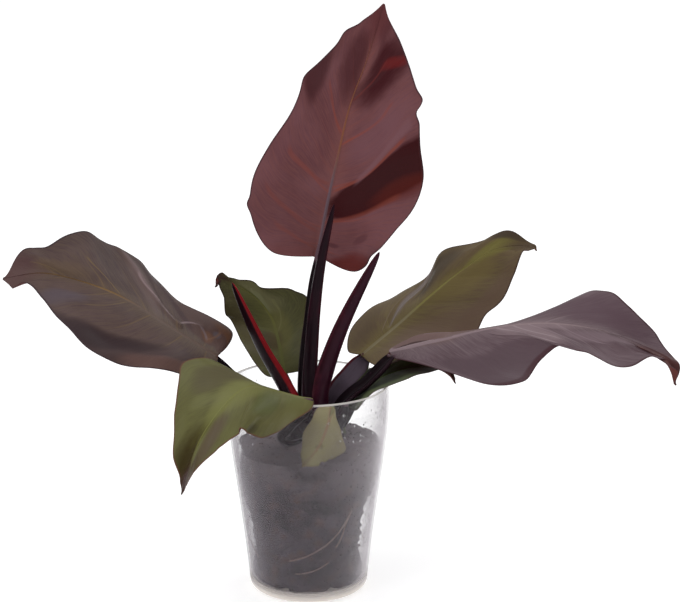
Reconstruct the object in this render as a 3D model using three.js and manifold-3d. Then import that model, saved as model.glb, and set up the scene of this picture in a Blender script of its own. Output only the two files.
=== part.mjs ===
// A young philodendron with broad, dark, wavy leaves, planted in a clear tapered glass pot.
// Millimetres, +Z up. The origin is the centre of the pot's flat base, +X runs to the
// right of someone facing the plant, and +Y runs away from them.
//
// Each leaf is a petiole and a blade. A blade is a fan of side ribs that leave the midrib
// and end on one outline shared by the whole species, so a leaf is told apart from the
// next only by its size, the line of its midrib and how far its two halves are lifted.

import * as THREE from "three";
import { mergeVertices } from "three/addons/utils/BufferGeometryUtils.js";
import Module from "manifold-3d";

const wasm = await Module();
wasm.setup();

const FIT_GAP = 0.3; // clearance between solids that touch

// Driving dimensions of the pot, the soil and the stem
const POT = {
  height: 160,
  rimRadius: 60,
  baseRadius: 44, // where the straight wall would meet the table
  heelRadius: 7,
  wall: 3,
  floor: 6,
  sides: 48,
};
const SOIL = {
  level: 113,
  mound: 5,
  slope: 0.05, // rise of the top towards +X
  sideGap: 2,
  roughness: 1.1,
  corner: 7, // rounded edge at the foot
  sideRings: 6,
  topRings: [0.86, 0.66, 0.44, 0.2], // shares of the radius
  sides: 40,
};
const STEM = {
  x: 4,
  y: 1,
  foot: 62,
  top: 124,
  radius: 12,
  form: [0.4, 0.84, 0.96, 1, 1, 0.96, 0.6], // shares of the radius, from the foot up
};

// Blade build
const BLADE = {
  thickness: 0.9,
  keel: 2, // depth of the midrib below the base of the blade
  keelLoss: 0.85, // share of that depth lost on the way to the tip
  keelHalfWidth: 2.4,
  keelShare: 0.16, // the most that the midrib takes of a side rib
};
const ROWS = { large: 22, small: 14 };
const RIB_BEND = 0.35; // how much a side rib speeds up towards the tip of the leaf
const ROOT_POWER = 1.45; // side ribs crowd together towards the base
const LOBE_SHARE = 0.25; // share of the ribs that sweep back into the basal lobes
const MIDRIB_STEPS = 160;
const SEAT = 10; // length of petiole that runs on below the midrib
const SPEAR_POWER = 0.42; // how late a rolled leaf narrows to its point
const RIB_STOPS = [0.28, 0.52, 0.77, 1]; // shares of a side rib, from the keel to the margin

const COLOURS = {
  sheath: 0x3a1420,
  petiole: 0x241018,
  blade: 0x5a4a3c,
  stem: 0x4a3a2c,
  soil: 0x4a4448,
  glass: 0xe8eef0,
};

const toRadians = THREE.MathUtils.degToRad;
const vector = (p) => new THREE.Vector3(...p);

// Smooth curves

const lineThrough = (points) =>
  new THREE.CatmullRomCurve3(points.map(vector), false, "catmullrom", 0.5);

// A smooth value at share t of a list of evenly spaced values.
function between(values, t) {
  if (!Array.isArray(values)) return values;
  const spline = new THREE.SplineCurve(values.map((v, i) => new THREE.Vector2(i, v)));
  return spline.getPoint(t).y;
}

// Even steps along a curve, each with its tangent, a normal carried along without twist,
// and the side direction that lies to the left when the normal points up.
function framesAlong(curve, facing, steps) {
  const frames = [];
  let normal = vector(facing);
  for (let i = 0; i <= steps; i++) {
    const origin = curve.getPointAt(i / steps);
    const tangent = curve.getTangentAt(i / steps);
    normal = normal.clone().addScaledVector(tangent, -normal.dot(tangent)).normalize();
    const side = new THREE.Vector3().crossVectors(normal, tangent);
    frames.push({ origin, tangent, normal, side });
  }
  return frames;
}

// Solids

// A closed geometry from rows of points that go once round the shape, with both ends capped.
function ringsToGeometry(rings) {
  const round = rings[0].length;
  const points = rings.flat();
  const faces = [];
  for (let i = 0; i + 1 < rings.length; i++) {
    for (let j = 0; j < round; j++) {
      const a = i * round + j;
      const b = i * round + ((j + 1) % round);
      faces.push(a, b, b + round, a, b + round, a + round);
    }
  }
  for (const [start, flip] of [[0, true], [(rings.length - 1) * round, false]]) {
    const middle = new THREE.Vector3();
    for (let j = 0; j < round; j++) middle.addScaledVector(points[start + j], 1 / round);
    const hub = points.push(middle) - 1;
    for (let j = 0; j < round; j++) {
      const a = start + j;
      const b = start + ((j + 1) % round);
      faces.push(...(flip ? [b, a, hub] : [a, b, hub]));
    }
  }
  return new THREE.BufferGeometry().setFromPoints(points).setIndex(faces);
}

function toSolid(geometry) {
  const bare = geometry.clone();
  bare.deleteAttribute("normal");
  bare.deleteAttribute("uv");
  const merged = mergeVertices(bare, 1e-4);
  const solid = new wasm.Manifold(
    new wasm.Mesh({
      numProp: 3,
      vertProperties: new Float32Array(merged.attributes.position.array),
      triVerts: new Uint32Array(merged.index.array),
    }),
  );
  if (solid.volume() > 0) return solid;
  const turned = merged.index.array.slice();
  for (let i = 0; i < turned.length; i += 3) {
    [turned[i + 1], turned[i + 2]] = [turned[i + 2], turned[i + 1]];
  }
  return toSolid(merged.clone().setIndex([...turned]));
}

function toGeometry(solid) {
  const mesh = solid.getMesh();
  const geometry = new THREE.BufferGeometry();
  geometry.setAttribute("position", new THREE.BufferAttribute(mesh.vertProperties, 3));
  geometry.setIndex(new THREE.BufferAttribute(mesh.triVerts, 1));
  geometry.computeVertexNormals();
  return geometry;
}

// Cuts the cutters out of a solid and keeps the largest piece that is left.
function carve(solid, cutters) {
  const cut = cutters.reduce((rest, cutter) => rest.subtract(cutter), solid);
  return cut.decompose().sort((a, b) => b.volume() - a.volume())[0];
}

// Pot

const outer = (z) => POT.baseRadius + ((POT.rimRadius - POT.baseRadius) * z) / POT.height;
const inner = (z) => outer(z) - POT.wall;

// A round moulding in the profile: points on an arc about a centre, from one angle to another.
function arc([r, z], radius, from, to, steps) {
  return Array.from({ length: steps + 1 }, (_, i) => {
    const angle = toRadians(from + ((to - from) * i) / steps);
    return new THREE.Vector2(r + radius * Math.cos(angle), z + radius * Math.sin(angle));
  });
}

function potGeometry() {
  const heel = POT.heelRadius;
  const corner = heel - POT.wall;
  const lip = POT.wall / 2;
  const shoulder = POT.height - lip;
  const bend = POT.floor + corner;
  const profile = [
    new THREE.Vector2(0, 0),
    ...arc([outer(heel) - heel, heel], heel, -90, 0, 4),
    new THREE.Vector2(outer(POT.height / 2), POT.height / 2),
    ...arc([outer(shoulder) - lip, shoulder], lip, 0, 180, 4),
    new THREE.Vector2(inner(POT.height / 2), POT.height / 2),
    ...arc([inner(bend) - corner, bend], corner, 0, -90, 3),
    new THREE.Vector2(0, POT.floor),
  ];
  return new THREE.LatheGeometry(profile, POT.sides).rotateX(Math.PI / 2);
}

// Soil: a lumpy plug that stands clear of the glass, with a low mound round the stem

function lumps(angle, height) {
  return (
    Math.sin(3 * angle + height * 0.05) * 0.5 +
    Math.sin(7 * angle - height * 0.11 + 1.3) * 0.3 +
    Math.sin(13 * angle + height * 0.23 + 2.1) * 0.2
  );
}

function soilGeometry() {
  const reach = (z) => inner(z) - SOIL.sideGap;
  const foot = POT.floor + FIT_GAP;
  const shoulder = SOIL.level - SOIL.corner / 2;
  const rings = [];
  const addRing = (radius, height, roughness, isTop = false) => {
    rings.push(
      Array.from({ length: SOIL.sides }, (_, j) => {
        const angle = (j / SOIL.sides) * 2 * Math.PI;
        const r = radius + roughness * lumps(angle, height + radius);
        const x = r * Math.cos(angle);
        const clods = (SOIL.roughness / 2) * lumps(2 * angle, 4 * radius);
        const z = isTop ? height + SOIL.slope * x + clods : height;
        return new THREE.Vector3(x, r * Math.sin(angle), z);
      }),
    );
  };
  addRing(reach(foot) - SOIL.corner, foot, 0);
  addRing(reach(foot) - SOIL.corner / 3, foot + SOIL.corner / 3, SOIL.roughness / 2);
  for (let i = 0; i < SOIL.sideRings; i++) {
    const z = THREE.MathUtils.lerp(foot + SOIL.corner, shoulder, i / (SOIL.sideRings - 1));
    addRing(reach(z), z, SOIL.roughness);
  }
  for (const share of SOIL.topRings) {
    const height = SOIL.level + SOIL.mound * (1 - share * share);
    addRing(reach(SOIL.level) * share, height, SOIL.roughness, true);
  }
  return ringsToGeometry(rings);
}

// Stem and petioles: lofts whose section is a half round below and a channel above

const CHANNELLED = [
  [1, 0.05],
  [0.86, -0.5],
  [0.5, -0.86],
  [0, -1],
  [-0.5, -0.86],
  [-0.86, -0.5],
  [-1, 0.05],
  [-0.84, 0.36],
  [-0.42, 0.16],
  [0, 0.08],
  [0.42, 0.16],
  [0.84, 0.36],
];
const ROUND = Array.from({ length: 12 }, (_, i) => [
  Math.cos((i / 12) * 2 * Math.PI),
  Math.sin((i / 12) * 2 * Math.PI),
]);

// A stalk along a path. width and depth are lists of half sizes, or functions of the share
// of the path; grow swells it evenly, for a cutter that leaves a gap.
function stalk({ path, facing, width, depth, section = CHANNELLED, steps = 10 }, grow = 0) {
  const frames = framesAlong(lineThrough(path), facing, steps);
  const size = (values, t) => (typeof values === "function" ? values(t) : between(values, t));
  const rings = frames.map(({ origin, tangent, normal, side }, i) => {
    const t = i / steps;
    const end = i === 0 ? -grow : i === steps ? grow : 0;
    return section.map(([x, y]) =>
      origin
        .clone()
        .addScaledVector(side, x * (size(width, t) + grow))
        .addScaledVector(normal, y * (size(depth, t) + grow) + Math.max(y, 0) * grow)
        .addScaledVector(tangent, end),
    );
  });
  return toSolid(ringsToGeometry(rings));
}

// Blades

// Where the side ribs end, from the base to the tip: share of the length, share of the half width
const OUTLINE = new THREE.SplineCurve(
  [
    [0, 0.05],
    [0.01, 0.66],
    [0.11, 0.92],
    [0.25, 1],
    [0.39, 0.97],
    [0.53, 0.86],
    [0.66, 0.7],
    [0.78, 0.5],
    [0.885, 0.27],
    [0.95, 0.1],
    [1, 0.012],
  ].map(([along, across]) => new THREE.Vector2(along, across)),
);

class Blade {
  constructor({ midrib, facing, twist = 0, left, right, rows = ROWS.large }) {
    this.rows = rows;
    this.curve = lineThrough(midrib);
    this.length = this.curve.getLength();
    this.frames = framesAlong(this.curve, facing, MIDRIB_STEPS);
    this.twist = twist;
    this.halves = { 1: left, "-1": right };
  }

  frameAt(share) {
    const place = share * MIDRIB_STEPS;
    const i = Math.min(Math.floor(place), MIDRIB_STEPS - 1);
    const [a, b] = [this.frames[i], this.frames[i + 1]];
    const mix = (key) => a[key].clone().lerp(b[key], place - i);
    const turn = toRadians(between(this.twist, share));
    const tangent = mix("tangent").normalize();
    return {
      origin: mix("origin"),
      tangent,
      normal: mix("normal").normalize().applyAxisAngle(tangent, turn),
      side: mix("side").normalize().applyAxisAngle(tangent, turn),
    };
  }

  // The side rib at share t of one half: hand is 1 for the left half and -1 for the right.
  // It runs outwards in an arc that starts at the lift and bends by the curl, and forwards
  // ever faster, as the veins of this species do.
  rib(t, hand) {
    const half = this.halves[hand];
    const root = t ** ROOT_POWER;
    const end = OUTLINE.getPoint(t);
    const { origin, tangent, normal, side } = this.frameAt(root);
    const lobe = half.lobe * Math.sin(Math.PI * Math.min(t / LOBE_SHARE, 1));
    const along = (end.x - root) * this.length - lobe;
    const across = end.y * half.width * between(half.swell ?? 1, t);
    const curl = toRadians(between(half.curl ?? 0, t)) || 1e-6;
    const lift = toRadians(between(half.lift, t)) - curl / 2;
    return {
      reach: Math.hypot(along, across),
      at(share) {
        const turned = lift + curl * share;
        const out = (across * (Math.sin(turned) - Math.sin(lift))) / curl;
        const rise = (across * (Math.cos(lift) - Math.cos(turned))) / curl;
        return origin
          .clone()
          .addScaledVector(side, hand * out)
          .addScaledVector(normal, rise)
          .addScaledVector(tangent, along * share * (1 - RIB_BEND + RIB_BEND * share));
      },
    };
  }

  // Rows of points across the blade, from the right margin over the midrib to the left margin.
  grid() {
    const points = [];
    for (let i = 0; i <= this.rows; i++) {
      const t = i / this.rows;
      const halves = [-1, 1].map((hand) => {
        const rib = this.rib(t, hand);
        const keel = Math.min(BLADE.keelHalfWidth / rib.reach, BLADE.keelShare);
        return [keel, ...RIB_STOPS].map((share) => rib.at(share));
      });
      points.push([...halves[0].reverse(), this.rib(t, 1).at(0), ...halves[1]]);
    }
    return points;
  }

  // The solid blade; grow swells it evenly, for a cutter that leaves a gap.
  solid(grow = 0) {
    const grid = this.grid();
    const across = grid[0].length;
    const middle = (across - 1) / 2;
    const normalAt = (i, j) => {
      const row = Math.min(i, this.rows - 1);
      const along = grid[row + 1][j].clone().sub(grid[Math.max(row - 1, 0)][j]);
      const [a, b] = [Math.max(j - 1, 0), Math.min(j + 1, across - 1)];
      return along.cross(grid[row][b].clone().sub(grid[row][a])).negate().normalize();
    };
    const half = BLADE.thickness / 2 + grow;
    const loops = grid.map((row, i) => {
      const keel = BLADE.keel * (1 - BLADE.keelLoss * (i / this.rows));
      const spread = row.map((point, j) => {
        const edge = j === 0 ? -1 : j === across - 1 ? 1 : 0;
        const out = row[Math.min(j + 1, across - 1)].clone().sub(row[Math.max(j - 1, 0)]);
        const end = i === 0 ? -grow : i === this.rows ? grow : 0;
        return point
          .clone()
          .addScaledVector(out.normalize(), edge * grow)
          .addScaledVector(this.frameAt((i / this.rows) ** ROOT_POWER).tangent, end);
      });
      const over = spread.map((p, j) => p.clone().addScaledVector(normalAt(i, j), half));
      const under = spread.map((p, j) =>
        p.clone().addScaledVector(normalAt(i, j), -half - (j === middle ? keel : 0)),
      );
      return { over, under };
    });
    return toSolid(sheetGeometry(loops));
  }
}

// Closes an upper and a lower sheet, both split into triangles alike, round their border.
function sheetGeometry(loops) {
  const rows = loops.length;
  const across = loops[0].over.length;
  const points = [...loops.flatMap((l) => l.over), ...loops.flatMap((l) => l.under)];
  const under = rows * across;
  const at = (i, j) => i * across + j;
  const faces = [];
  for (let i = 0; i + 1 < rows; i++) {
    for (let j = 0; j + 1 < across; j++) {
      const [a, b, c, d] = [at(i, j), at(i, j + 1), at(i + 1, j + 1), at(i + 1, j)];
      faces.push(a, b, c, a, c, d);
      faces.push(under + a, under + c, under + b, under + a, under + d, under + c);
    }
  }
  const border = [];
  for (let j = 0; j + 1 < across; j++) border.push(at(0, j));
  for (let i = 0; i + 1 < rows; i++) border.push(at(i, across - 1));
  for (let j = across - 1; j > 0; j--) border.push(at(rows - 1, j));
  for (let i = rows - 1; i > 0; i--) border.push(at(i, 0));
  border.forEach((a, k) => {
    const b = border[(k + 1) % border.length];
    faces.push(a, under + a, under + b, a, under + b, b);
  });
  return new THREE.BufferGeometry().setFromPoints(points).setIndex(faces);
}

// The leaves. A blade's midrib starts where its petiole's path ends, and facing is the way
// its upper side looks there. Each half has its greatest width, the depth of its basal lobe,
// and lists that run from the base to the tip: lift is the angle of the side ribs above the
// plane of the midrib, curl is how far they bend on the way out, both in degrees, and swell
// is a share of the width. stalk gives the half width of the petiole at its foot and its top.

const LEAVES = {
  tall: {
    midrib: [
      [7, 8, 254], [15, 7, 297], [23, 7, 333], [31, 10, 366],
      [43, 15, 398], [55.5, 18, 439],
    ],
    facing: [0.1, 1, 0.1],
    left: {
      width: 66,
      lobe: 6,
      lift: [-14, -8, -4, -10, -14, -6],
      curl: 10,
      swell: [0.8, 0.72, 0.76, 0.94, 1.02, 1, 1.12, 1.14, 1.08, 1.05, 1],
    },
    right: {
      width: 60,
      lobe: 4,
      lift: [-12, -10, -12, -8, -6, -4],
      curl: 10,
      swell: [0.9, 0.84, 0.94, 0.96, 0.88, 0.78, 0.84, 0.82, 0.98, 1.1, 1],
    },
    petiole: [[1, 7, 119], [-3, 4, 151], [-2, 4, 182], [2, 5, 218]],
    stalk: [5.2, 3.4],
  },
  left: {
    midrib: [
      [-67, 0, 179], [-97, -4, 200], [-132, -6, 224], [-161, -4, 236],
      [-194, 0, 243], [-225, 4, 238],
    ],
    facing: [0.25, -0.7, 0.65],
    twist: [24, 26, 26, 14, 0, 0],
    left: {
      width: 62,
      lobe: 4,
      lift: [-10, -8, -12, -12, -4, 0],
      curl: -10,
      swell: [0.7, 0.7, 0.6, 0.76, 1, 1.14, 1.06, 0.82, 0.78, 1.9, 1.4],
    },
    right: {
      width: 62,
      lobe: 10,
      lift: [0, -8, -8, 2, 16, 0],
      curl: [-10, -20, -20, 0, 0, 0],
      swell: [1, 1, 0.88, 0.84, 1, 1.08, 1.12, 1.2, 1, 2, 1],
    },
    petiole: [[-6, 4, 119], [-11, 5, 134], [-34, 4, 149], [-54, 2, 163]],
    stalk: [5, 3],
  },
  upright: {
    midrib: [
      [40, 18, 175], [65, 35, 192], [92, 52, 212], [117, 66, 229],
      [143, 76, 243], [169, 84, 244], [176, 86, 240],
    ],
    facing: [-0.3, -0.75, 0.6],
    left: {
      width: 50,
      lobe: 5,
      lift: [0, -5, -12, -22, -34, -34, -16, -8, -8, 0, 0],
      curl: [0, -10, -20, -40, -50, -40, -15, 0, 0, 0, 0],
      swell: [0.4, 0.38, 0.62, 0.72, 0.84, 0.7, 0.78, 0.5, 0.84, 0.8, 1],
    },
    right: {
      width: 56,
      lobe: 4,
      lift: [25, 25, 22, 10, -5, -10, -10, -10, -10, -5, 0],
      curl: -10,
      swell: [0.6, 0.65, 0.75, 0.86, 0.92, 0.86, 1, 1, 1, 1, 1],
    },
    petiole: [[13, 9, 119], [15, 9, 138], [22, 10, 153], [29, 12, 161.5]],
    stalk: [7.5, 5.5],
  },
  right: {
    midrib: [
      [60, -10, 186], [97, -25, 200], [132, -40, 212], [171, -52, 219],
      [209, -60, 216], [243, -64, 202], [257, -66, 193], [264, -66, 177],
    ],
    facing: [-0.35, -0.35, 0.93],
    left: {
      width: 58,
      lobe: 0,
      lift: [-36, -38, -38, -38, -37, -31, -8, 4, -5, -10, 0],
      curl: 0,
      swell: [0.4, 0.45, 0.6, 0.8, 0.95, 1, 1, 0.88, 0.76, 0.9, 1],
    },
    right: {
      width: 52,
      lobe: 4,
      lift: [-70, -76, -78, -78, -76, -50, -12, -16, -12, -6, 0],
      curl: -10,
      swell: [0.1, 0.14, 0.36, 0.82, 0.94, 0.54, 0.8, 1.13, 0.62, 0.9, 1],
    },
    petiole: [
      [14, -3, 119], [22, -3, 140], [31, -4, 151.5], [40, -6, 159],
      [48, -7, 167],
    ],
    stalk: [5.2, 4],
  },
  front: {
    midrib: [
      [4, -57, 164.5], [-7, -65, 169], [-23, -75, 176], [-41, -84, 181],
      [-57, -93, 171], [-73, -101, 150], [-82, -105, 129], [-88, -107, 109],
    ],
    facing: [-0.3, -0.3, 0.9],
    left: {
      width: 46,
      lobe: 0,
      lift: [-40, -52, -58, -50, -40, -30, -20, -10, 0, 0, 0],
      curl: -20,
      swell: [0.2, 0.26, 0.44, 0.74, 0.97, 0.93, 0.8, 0.8, 0.9, 1, 1],
    },
    right: {
      width: 52,
      lobe: 0,
      lift: [-20, -26, -22, -10, -3, 13, 11, 4, 0, 0, 0],
      curl: 0,
      swell: [0.9, 0.9, 0.9, 0.9, 0.96, 1.08, 1, 1.04, 1.05, 1, 1],
    },
    petiole: [
      [-5, -8, 119], [-15, -20, 120], [-19, -30, 127], [-12, -38, 137],
      [-3, -46, 148],
    ],
    stalk: [4.4, 2.4],
  },
  low: {
    rows: ROWS.small,
    midrib: [
      [26, 7, 141], [42, 9, 152.5], [60, 8, 163], [78, 4, 169],
      [94, 1, 170.5], [104, -3, 167], [110, -5, 160],
    ],
    facing: [-0.3, 0, 1],
    left: {
      width: 20,
      lobe: 0,
      lift: [20, 20, 20, 15, 0, 0],
      curl: 0,
      swell: [0.2, 0.7, 0.85, 0.6, 0.6, 1],
    },
    right: {
      width: 30,
      lobe: 0,
      lift: [-50, -32, -8, 4, 2, -4, 0, 0, 0, 0, 0],
      curl: 0,
      swell: [0.7, 0.8, 0.9, 1, 1, 1, 0.9, 0.8, 0.8, 1, 1],
    },
    petiole: [[12, -5, 119], [19, 2, 138]],
    stalk: [4, 2],
  },
  back: {
    rows: ROWS.small,
    midrib: [
      [-18, 16, 161], [-22, 28, 181], [-28, 38, 199], [-39, 42, 213],
      [-53, 44, 222], [-63, 44, 228], [-71, 42, 222],
    ],
    facing: [-0.1, -0.85, 0.4],
    left: {
      width: 36,
      lobe: 0,
      lift: [-10, -10, -10, -10, 0, 0],
      curl: 0,
      swell: [0.5, 0.62, 0.86, 1.14, 0.95, 1],
    },
    right: {
      width: 38,
      lobe: 0,
      lift: [0, 5, 0, 0, 0, 0],
      curl: 0,
      swell: [0.7, 0.68, 0.8, 0.92, 0.92, 0.74, 0.34, 0.25, 0.2, 0.3, 0.4],
    },
    petiole: [[-1, 12, 119], [-8, 14, 140]],
    stalk: [4.4, 2.4],
  },
  inner: {
    rows: ROWS.small,
    midrib: [[18, -38, 152], [15, -43, 140], [9, -46, 127], [-3, -47, 114.5]],
    facing: [0, -0.8, 0.5],
    left: {
      width: 16,
      lobe: 0,
      lift: [-10, -20, -25, -25, -20, 0],
      curl: -20,
      swell: [0.2, 0.5, 0.95, 1.3, 1.5, 1],
    },
    right: {
      width: 18,
      lobe: 0,
      lift: [-10, -15, -15, -15, -10, 0],
      curl: -10,
      swell: [0.7, 0.9, 1, 1.25, 1.4, 1],
    },
    petiole: [[8, -12, 119], [14, -22, 142]],
    stalk: [3, 1.6],
  },
};

// Rolled sheaths of the leaves to come: long spears, each with a keel along both edges
const SHEATHS = {
  tall: {
    path: [
      [3, -1, 121], [1, -3, 154], [2.5, -4, 185], [5.5, -6, 221],
      [10.5, -8, 256], [19.5, -10, 297],
    ],
    facing: [0.3, 1, 0],
    width: 6.4,
    depth: 5.4,
  },
  right: {
    path: [
      [9, 0, 121], [8, -2, 149], [12, -3, 167], [21, -4, 194],
      [32.5, -6, 221], [52.5, -8, 261],
    ],
    facing: [-0.6, 1, 0.2],
    width: 7.4,
    depth: 5.6,
  },
  left: {
    path: [
      [-4, 2, 121], [-15, 3, 151], [-33, 5, 183], [-46, 6, 211],
      [-56, 6, 234.5],
    ],
    facing: [0.8, 0.6, 0.4],
    width: 8.2,
    depth: 6,
  },
};

// Assembly

const plant = new THREE.Group();

function addNode(name, geometry, colour, extra = {}) {
  const finish = { color: colour, roughness: 0.5, metalness: 0, ...extra };
  const mesh = new THREE.Mesh(geometry, new THREE.MeshStandardMaterial(finish));
  mesh.name = name;
  plant.add(mesh);
}

const stemSpec = {
  path: [STEM.foot, (STEM.foot + STEM.top) / 2, STEM.top].map((z) => [STEM.x, STEM.y, z]),
  facing: [0, 1, 0],
  width: STEM.form.map((share) => share * STEM.radius),
  depth: STEM.form.map((share) => share * STEM.radius),
  section: ROUND,
  steps: 9,
};
const taken = [stalk(stemSpec, FIT_GAP)]; // what the stalks made so far keep clear of

// Makes a stalk that stands clear of those made before it, and of any other cutters.
function fitStalk(spec, cutters = []) {
  const solid = carve(stalk(spec), [...taken, ...cutters]);
  taken.push(stalk(spec, FIT_GAP));
  return toGeometry(solid);
}

for (const [name, { path, facing, width, depth }] of Object.entries(SHEATHS)) {
  const taper = (t) => Math.max(1 - t, 0.001) ** SPEAR_POWER;
  const spec = {
    path,
    facing,
    width: (t) => width * taper(t),
    depth: (t) => depth * taper(t),
    steps: 13,
  };
  addNode(`sheath_${name}`, fitStalk(spec), COLOURS.sheath);
}

for (const [name, leaf] of Object.entries(LEAVES)) {
  const blade = new Blade(leaf);
  const start = blade.frameAt(0);
  const [base, top] = leaf.stalk;
  const under = (share, drop) => {
    const { origin, normal } = blade.frameAt(share);
    return origin.clone().addScaledVector(normal, -drop).toArray();
  };
  const seat = SEAT / blade.length;
  const spec = {
    path: [...leaf.petiole, under(0, top * 0.8), under(seat, top * 0.5)],
    facing: start.normal.toArray(),
    width: [base * 1.25, base, (base + top) / 2, top * 1.05, top, 1],
    depth: [base, base * 0.85, (base + top) * 0.42, top * 0.9, top * 0.85, 0.8],
    steps: 12,
  };
  addNode(`petiole_${name}`, fitStalk(spec, [blade.solid(), blade.solid(FIT_GAP)]), COLOURS.petiole);
  addNode(`blade_${name}`, toGeometry(blade.solid()), COLOURS.blade);
}

addNode("stem", toGeometry(stalk(stemSpec)), COLOURS.stem);
const soil = carve(toSolid(soilGeometry()), taken);
addNode("soil", toGeometry(soil), COLOURS.soil, { roughness: 0.95 });
addNode("glass_pot", potGeometry(), COLOURS.glass, {
  roughness: 0.05,
  transparent: true,
  opacity: 0.3,
});

export default plant;
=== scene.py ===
import math

import bpy
import numpy as np
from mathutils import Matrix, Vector, noise


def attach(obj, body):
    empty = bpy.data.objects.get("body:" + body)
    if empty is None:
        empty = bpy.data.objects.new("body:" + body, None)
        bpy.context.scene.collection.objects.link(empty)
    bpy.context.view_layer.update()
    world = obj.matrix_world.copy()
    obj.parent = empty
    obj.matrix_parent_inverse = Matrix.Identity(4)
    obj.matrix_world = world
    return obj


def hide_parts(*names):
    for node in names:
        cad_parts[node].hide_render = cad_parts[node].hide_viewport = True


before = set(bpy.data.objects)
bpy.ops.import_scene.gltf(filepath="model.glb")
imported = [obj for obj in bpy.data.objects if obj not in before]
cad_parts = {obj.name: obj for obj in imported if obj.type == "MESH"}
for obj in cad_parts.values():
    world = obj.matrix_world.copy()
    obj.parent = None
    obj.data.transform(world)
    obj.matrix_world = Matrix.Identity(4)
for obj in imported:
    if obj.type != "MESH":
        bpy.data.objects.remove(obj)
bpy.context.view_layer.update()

mm = 0.001  # the plant's own values are in millimetres, as a grower would measure them

# Camera: the photograph's own view, a little above the rim of the pot
cameraSetup = {
    "place": (0.0238, -1.6065, 0.6414),
    "tiltDown": 14.63,  # degrees
    "lens": 119.1,
    "sensor": 36.0,
}


def makeCamera():
    data = bpy.data.cameras.new("camera")
    data.lens = cameraSetup["lens"]
    data.sensor_width = cameraSetup["sensor"]
    camera = bpy.data.objects.new("camera", data)
    camera.location = cameraSetup["place"]
    camera.rotation_euler = (math.radians(90 - cameraSetup["tiltDown"]), 0, 0)
    bpy.context.scene.collection.objects.link(camera)
    bpy.context.scene.camera = camera


makeCamera()
print("camera set")


# Node trees: a value that can be added, multiplied and compared like a number
class Value:
    def __init__(self, maker, socket):
        self.maker = maker
        self.socket = socket

    def math(self, operation, *others):
        return self.maker.add("ShaderNodeMath", {"operation": operation}, [self, *others])

    def __add__(self, other):
        return self.math("ADD", other)

    def __radd__(self, other):
        return self.math("ADD", other)

    def __sub__(self, other):
        return self.math("SUBTRACT", other)

    def __rsub__(self, other):
        return self.maker.add("ShaderNodeMath", {"operation": "SUBTRACT"}, [other, self])

    def __mul__(self, other):
        return self.math("MULTIPLY", other)

    def __rmul__(self, other):
        return self.math("MULTIPLY", other)

    def __truediv__(self, other):
        return self.math("DIVIDE", other)

    def __pow__(self, other):
        return self.math("POWER", other)

    def __abs__(self):
        return self.math("ABSOLUTE")


class Maker:
    def __init__(self, tree):
        self.tree = tree

    # one node of any kind: its settings first, then the values or links of its sockets
    def add(self, kind, settings=None, inputs=None, output=0):
        node = self.tree.nodes.new(kind)
        for key, value in (settings or {}).items():
            setattr(node, key, value)
        pairs = enumerate(inputs) if isinstance(inputs, list) else (inputs or {}).items()
        for key, value in pairs:
            if value is None:
                continue
            if isinstance(value, Value):
                self.tree.links.new(value.socket, node.inputs[key])
            else:
                node.inputs[key].default_value = value
        return Value(self, node.outputs[output]) if len(node.outputs) else node

    def between(self, value, low, high, start=0.0, end=1.0):
        return self.add(
            "ShaderNodeMapRange",
            {"interpolation_type": "SMOOTHSTEP", "clamp": True},
            [value, low, high, start, end],
        )

    def mix(self, share, first, second):
        settings = {"data_type": "RGBA", "blend_type": "MIX", "clamp_factor": True}
        return self.add("ShaderNodeMix", settings, {0: share, 6: first, 7: second}, 2)

    def noise(self, place, scale, detail=2.0, roughness=0.5):
        inputs = {"Vector": place, "Scale": scale, "Detail": detail, "Roughness": roughness}
        return self.add("ShaderNodeTexNoise", None, inputs)

    def join(self, x, y, z):
        return self.add("ShaderNodeCombineXYZ", None, [x, y, z])

    def split(self, vector):
        return [self.add("ShaderNodeSeparateXYZ", None, [vector], i) for i in range(3)]

    def attribute(self, name, output="Fac"):
        return self.add("ShaderNodeAttribute", {"attribute_name": name}, None, output)

    def objectPlace(self):
        return self.add("ShaderNodeTexCoord", None, None, "Object")

    def bump(self, height, strength, distance):
        inputs = {"Height": height, "Strength": strength, "Distance": distance}
        return self.add("ShaderNodeBump", None, inputs)


# a colour as a painter reads it off a screen, made linear for the shader
def paint(red, green, blue):
    def linear(channel):
        share = channel / 255
        return share / 12.92 if share <= 0.04045 else ((share + 0.055) / 1.055) ** 2.4

    return (linear(red), linear(green), linear(blue), 1.0)


def newMaterial(name):
    material = bpy.data.materials.new(name)
    material.use_nodes = True
    material.node_tree.nodes.clear()
    return material, Maker(material.node_tree)


def finishMaterial(material, maker, inputs):
    surface = maker.add("ShaderNodeBsdfPrincipled", None, inputs)
    maker.add("ShaderNodeOutputMaterial", None, {"Surface": surface})
    return material


# Curves and frames
def through(points, shares, openEnds=False):
    points = np.array(points, float)
    if points.ndim == 1:
        points = points[:, None]
    first, last = points[0], points[-1]
    if openEnds:
        first, last = 2 * points[0] - points[1], 2 * points[-1] - points[-2]
    p = np.vstack([first, points, last])
    place = np.clip(shares, 0, 1) * (len(points) - 1)
    i = np.minimum(place.astype(int), len(points) - 2)
    w = (place - i)[:, None]
    p0, p1, p2, p3 = p[i], p[i + 1], p[i + 2], p[i + 3]
    v0, v1 = (p2 - p0) / 2, (p3 - p1) / 2
    cubic = (2 * p1 - 2 * p2 + v0 + v1) * w**3 + (3 * p2 - 3 * p1 - 2 * v0 - v1) * w**2
    return cubic + v0 * w + p1


# one number, or a list of evenly spaced numbers read at each share
def along(values, shares):
    if isinstance(values, (int, float)):
        return np.full(len(shares), float(values))
    return through(values, shares)[:, 0]


def unit(v):
    return v / np.maximum(np.linalg.norm(v, axis=-1, keepdims=True), 1e-12)


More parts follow.
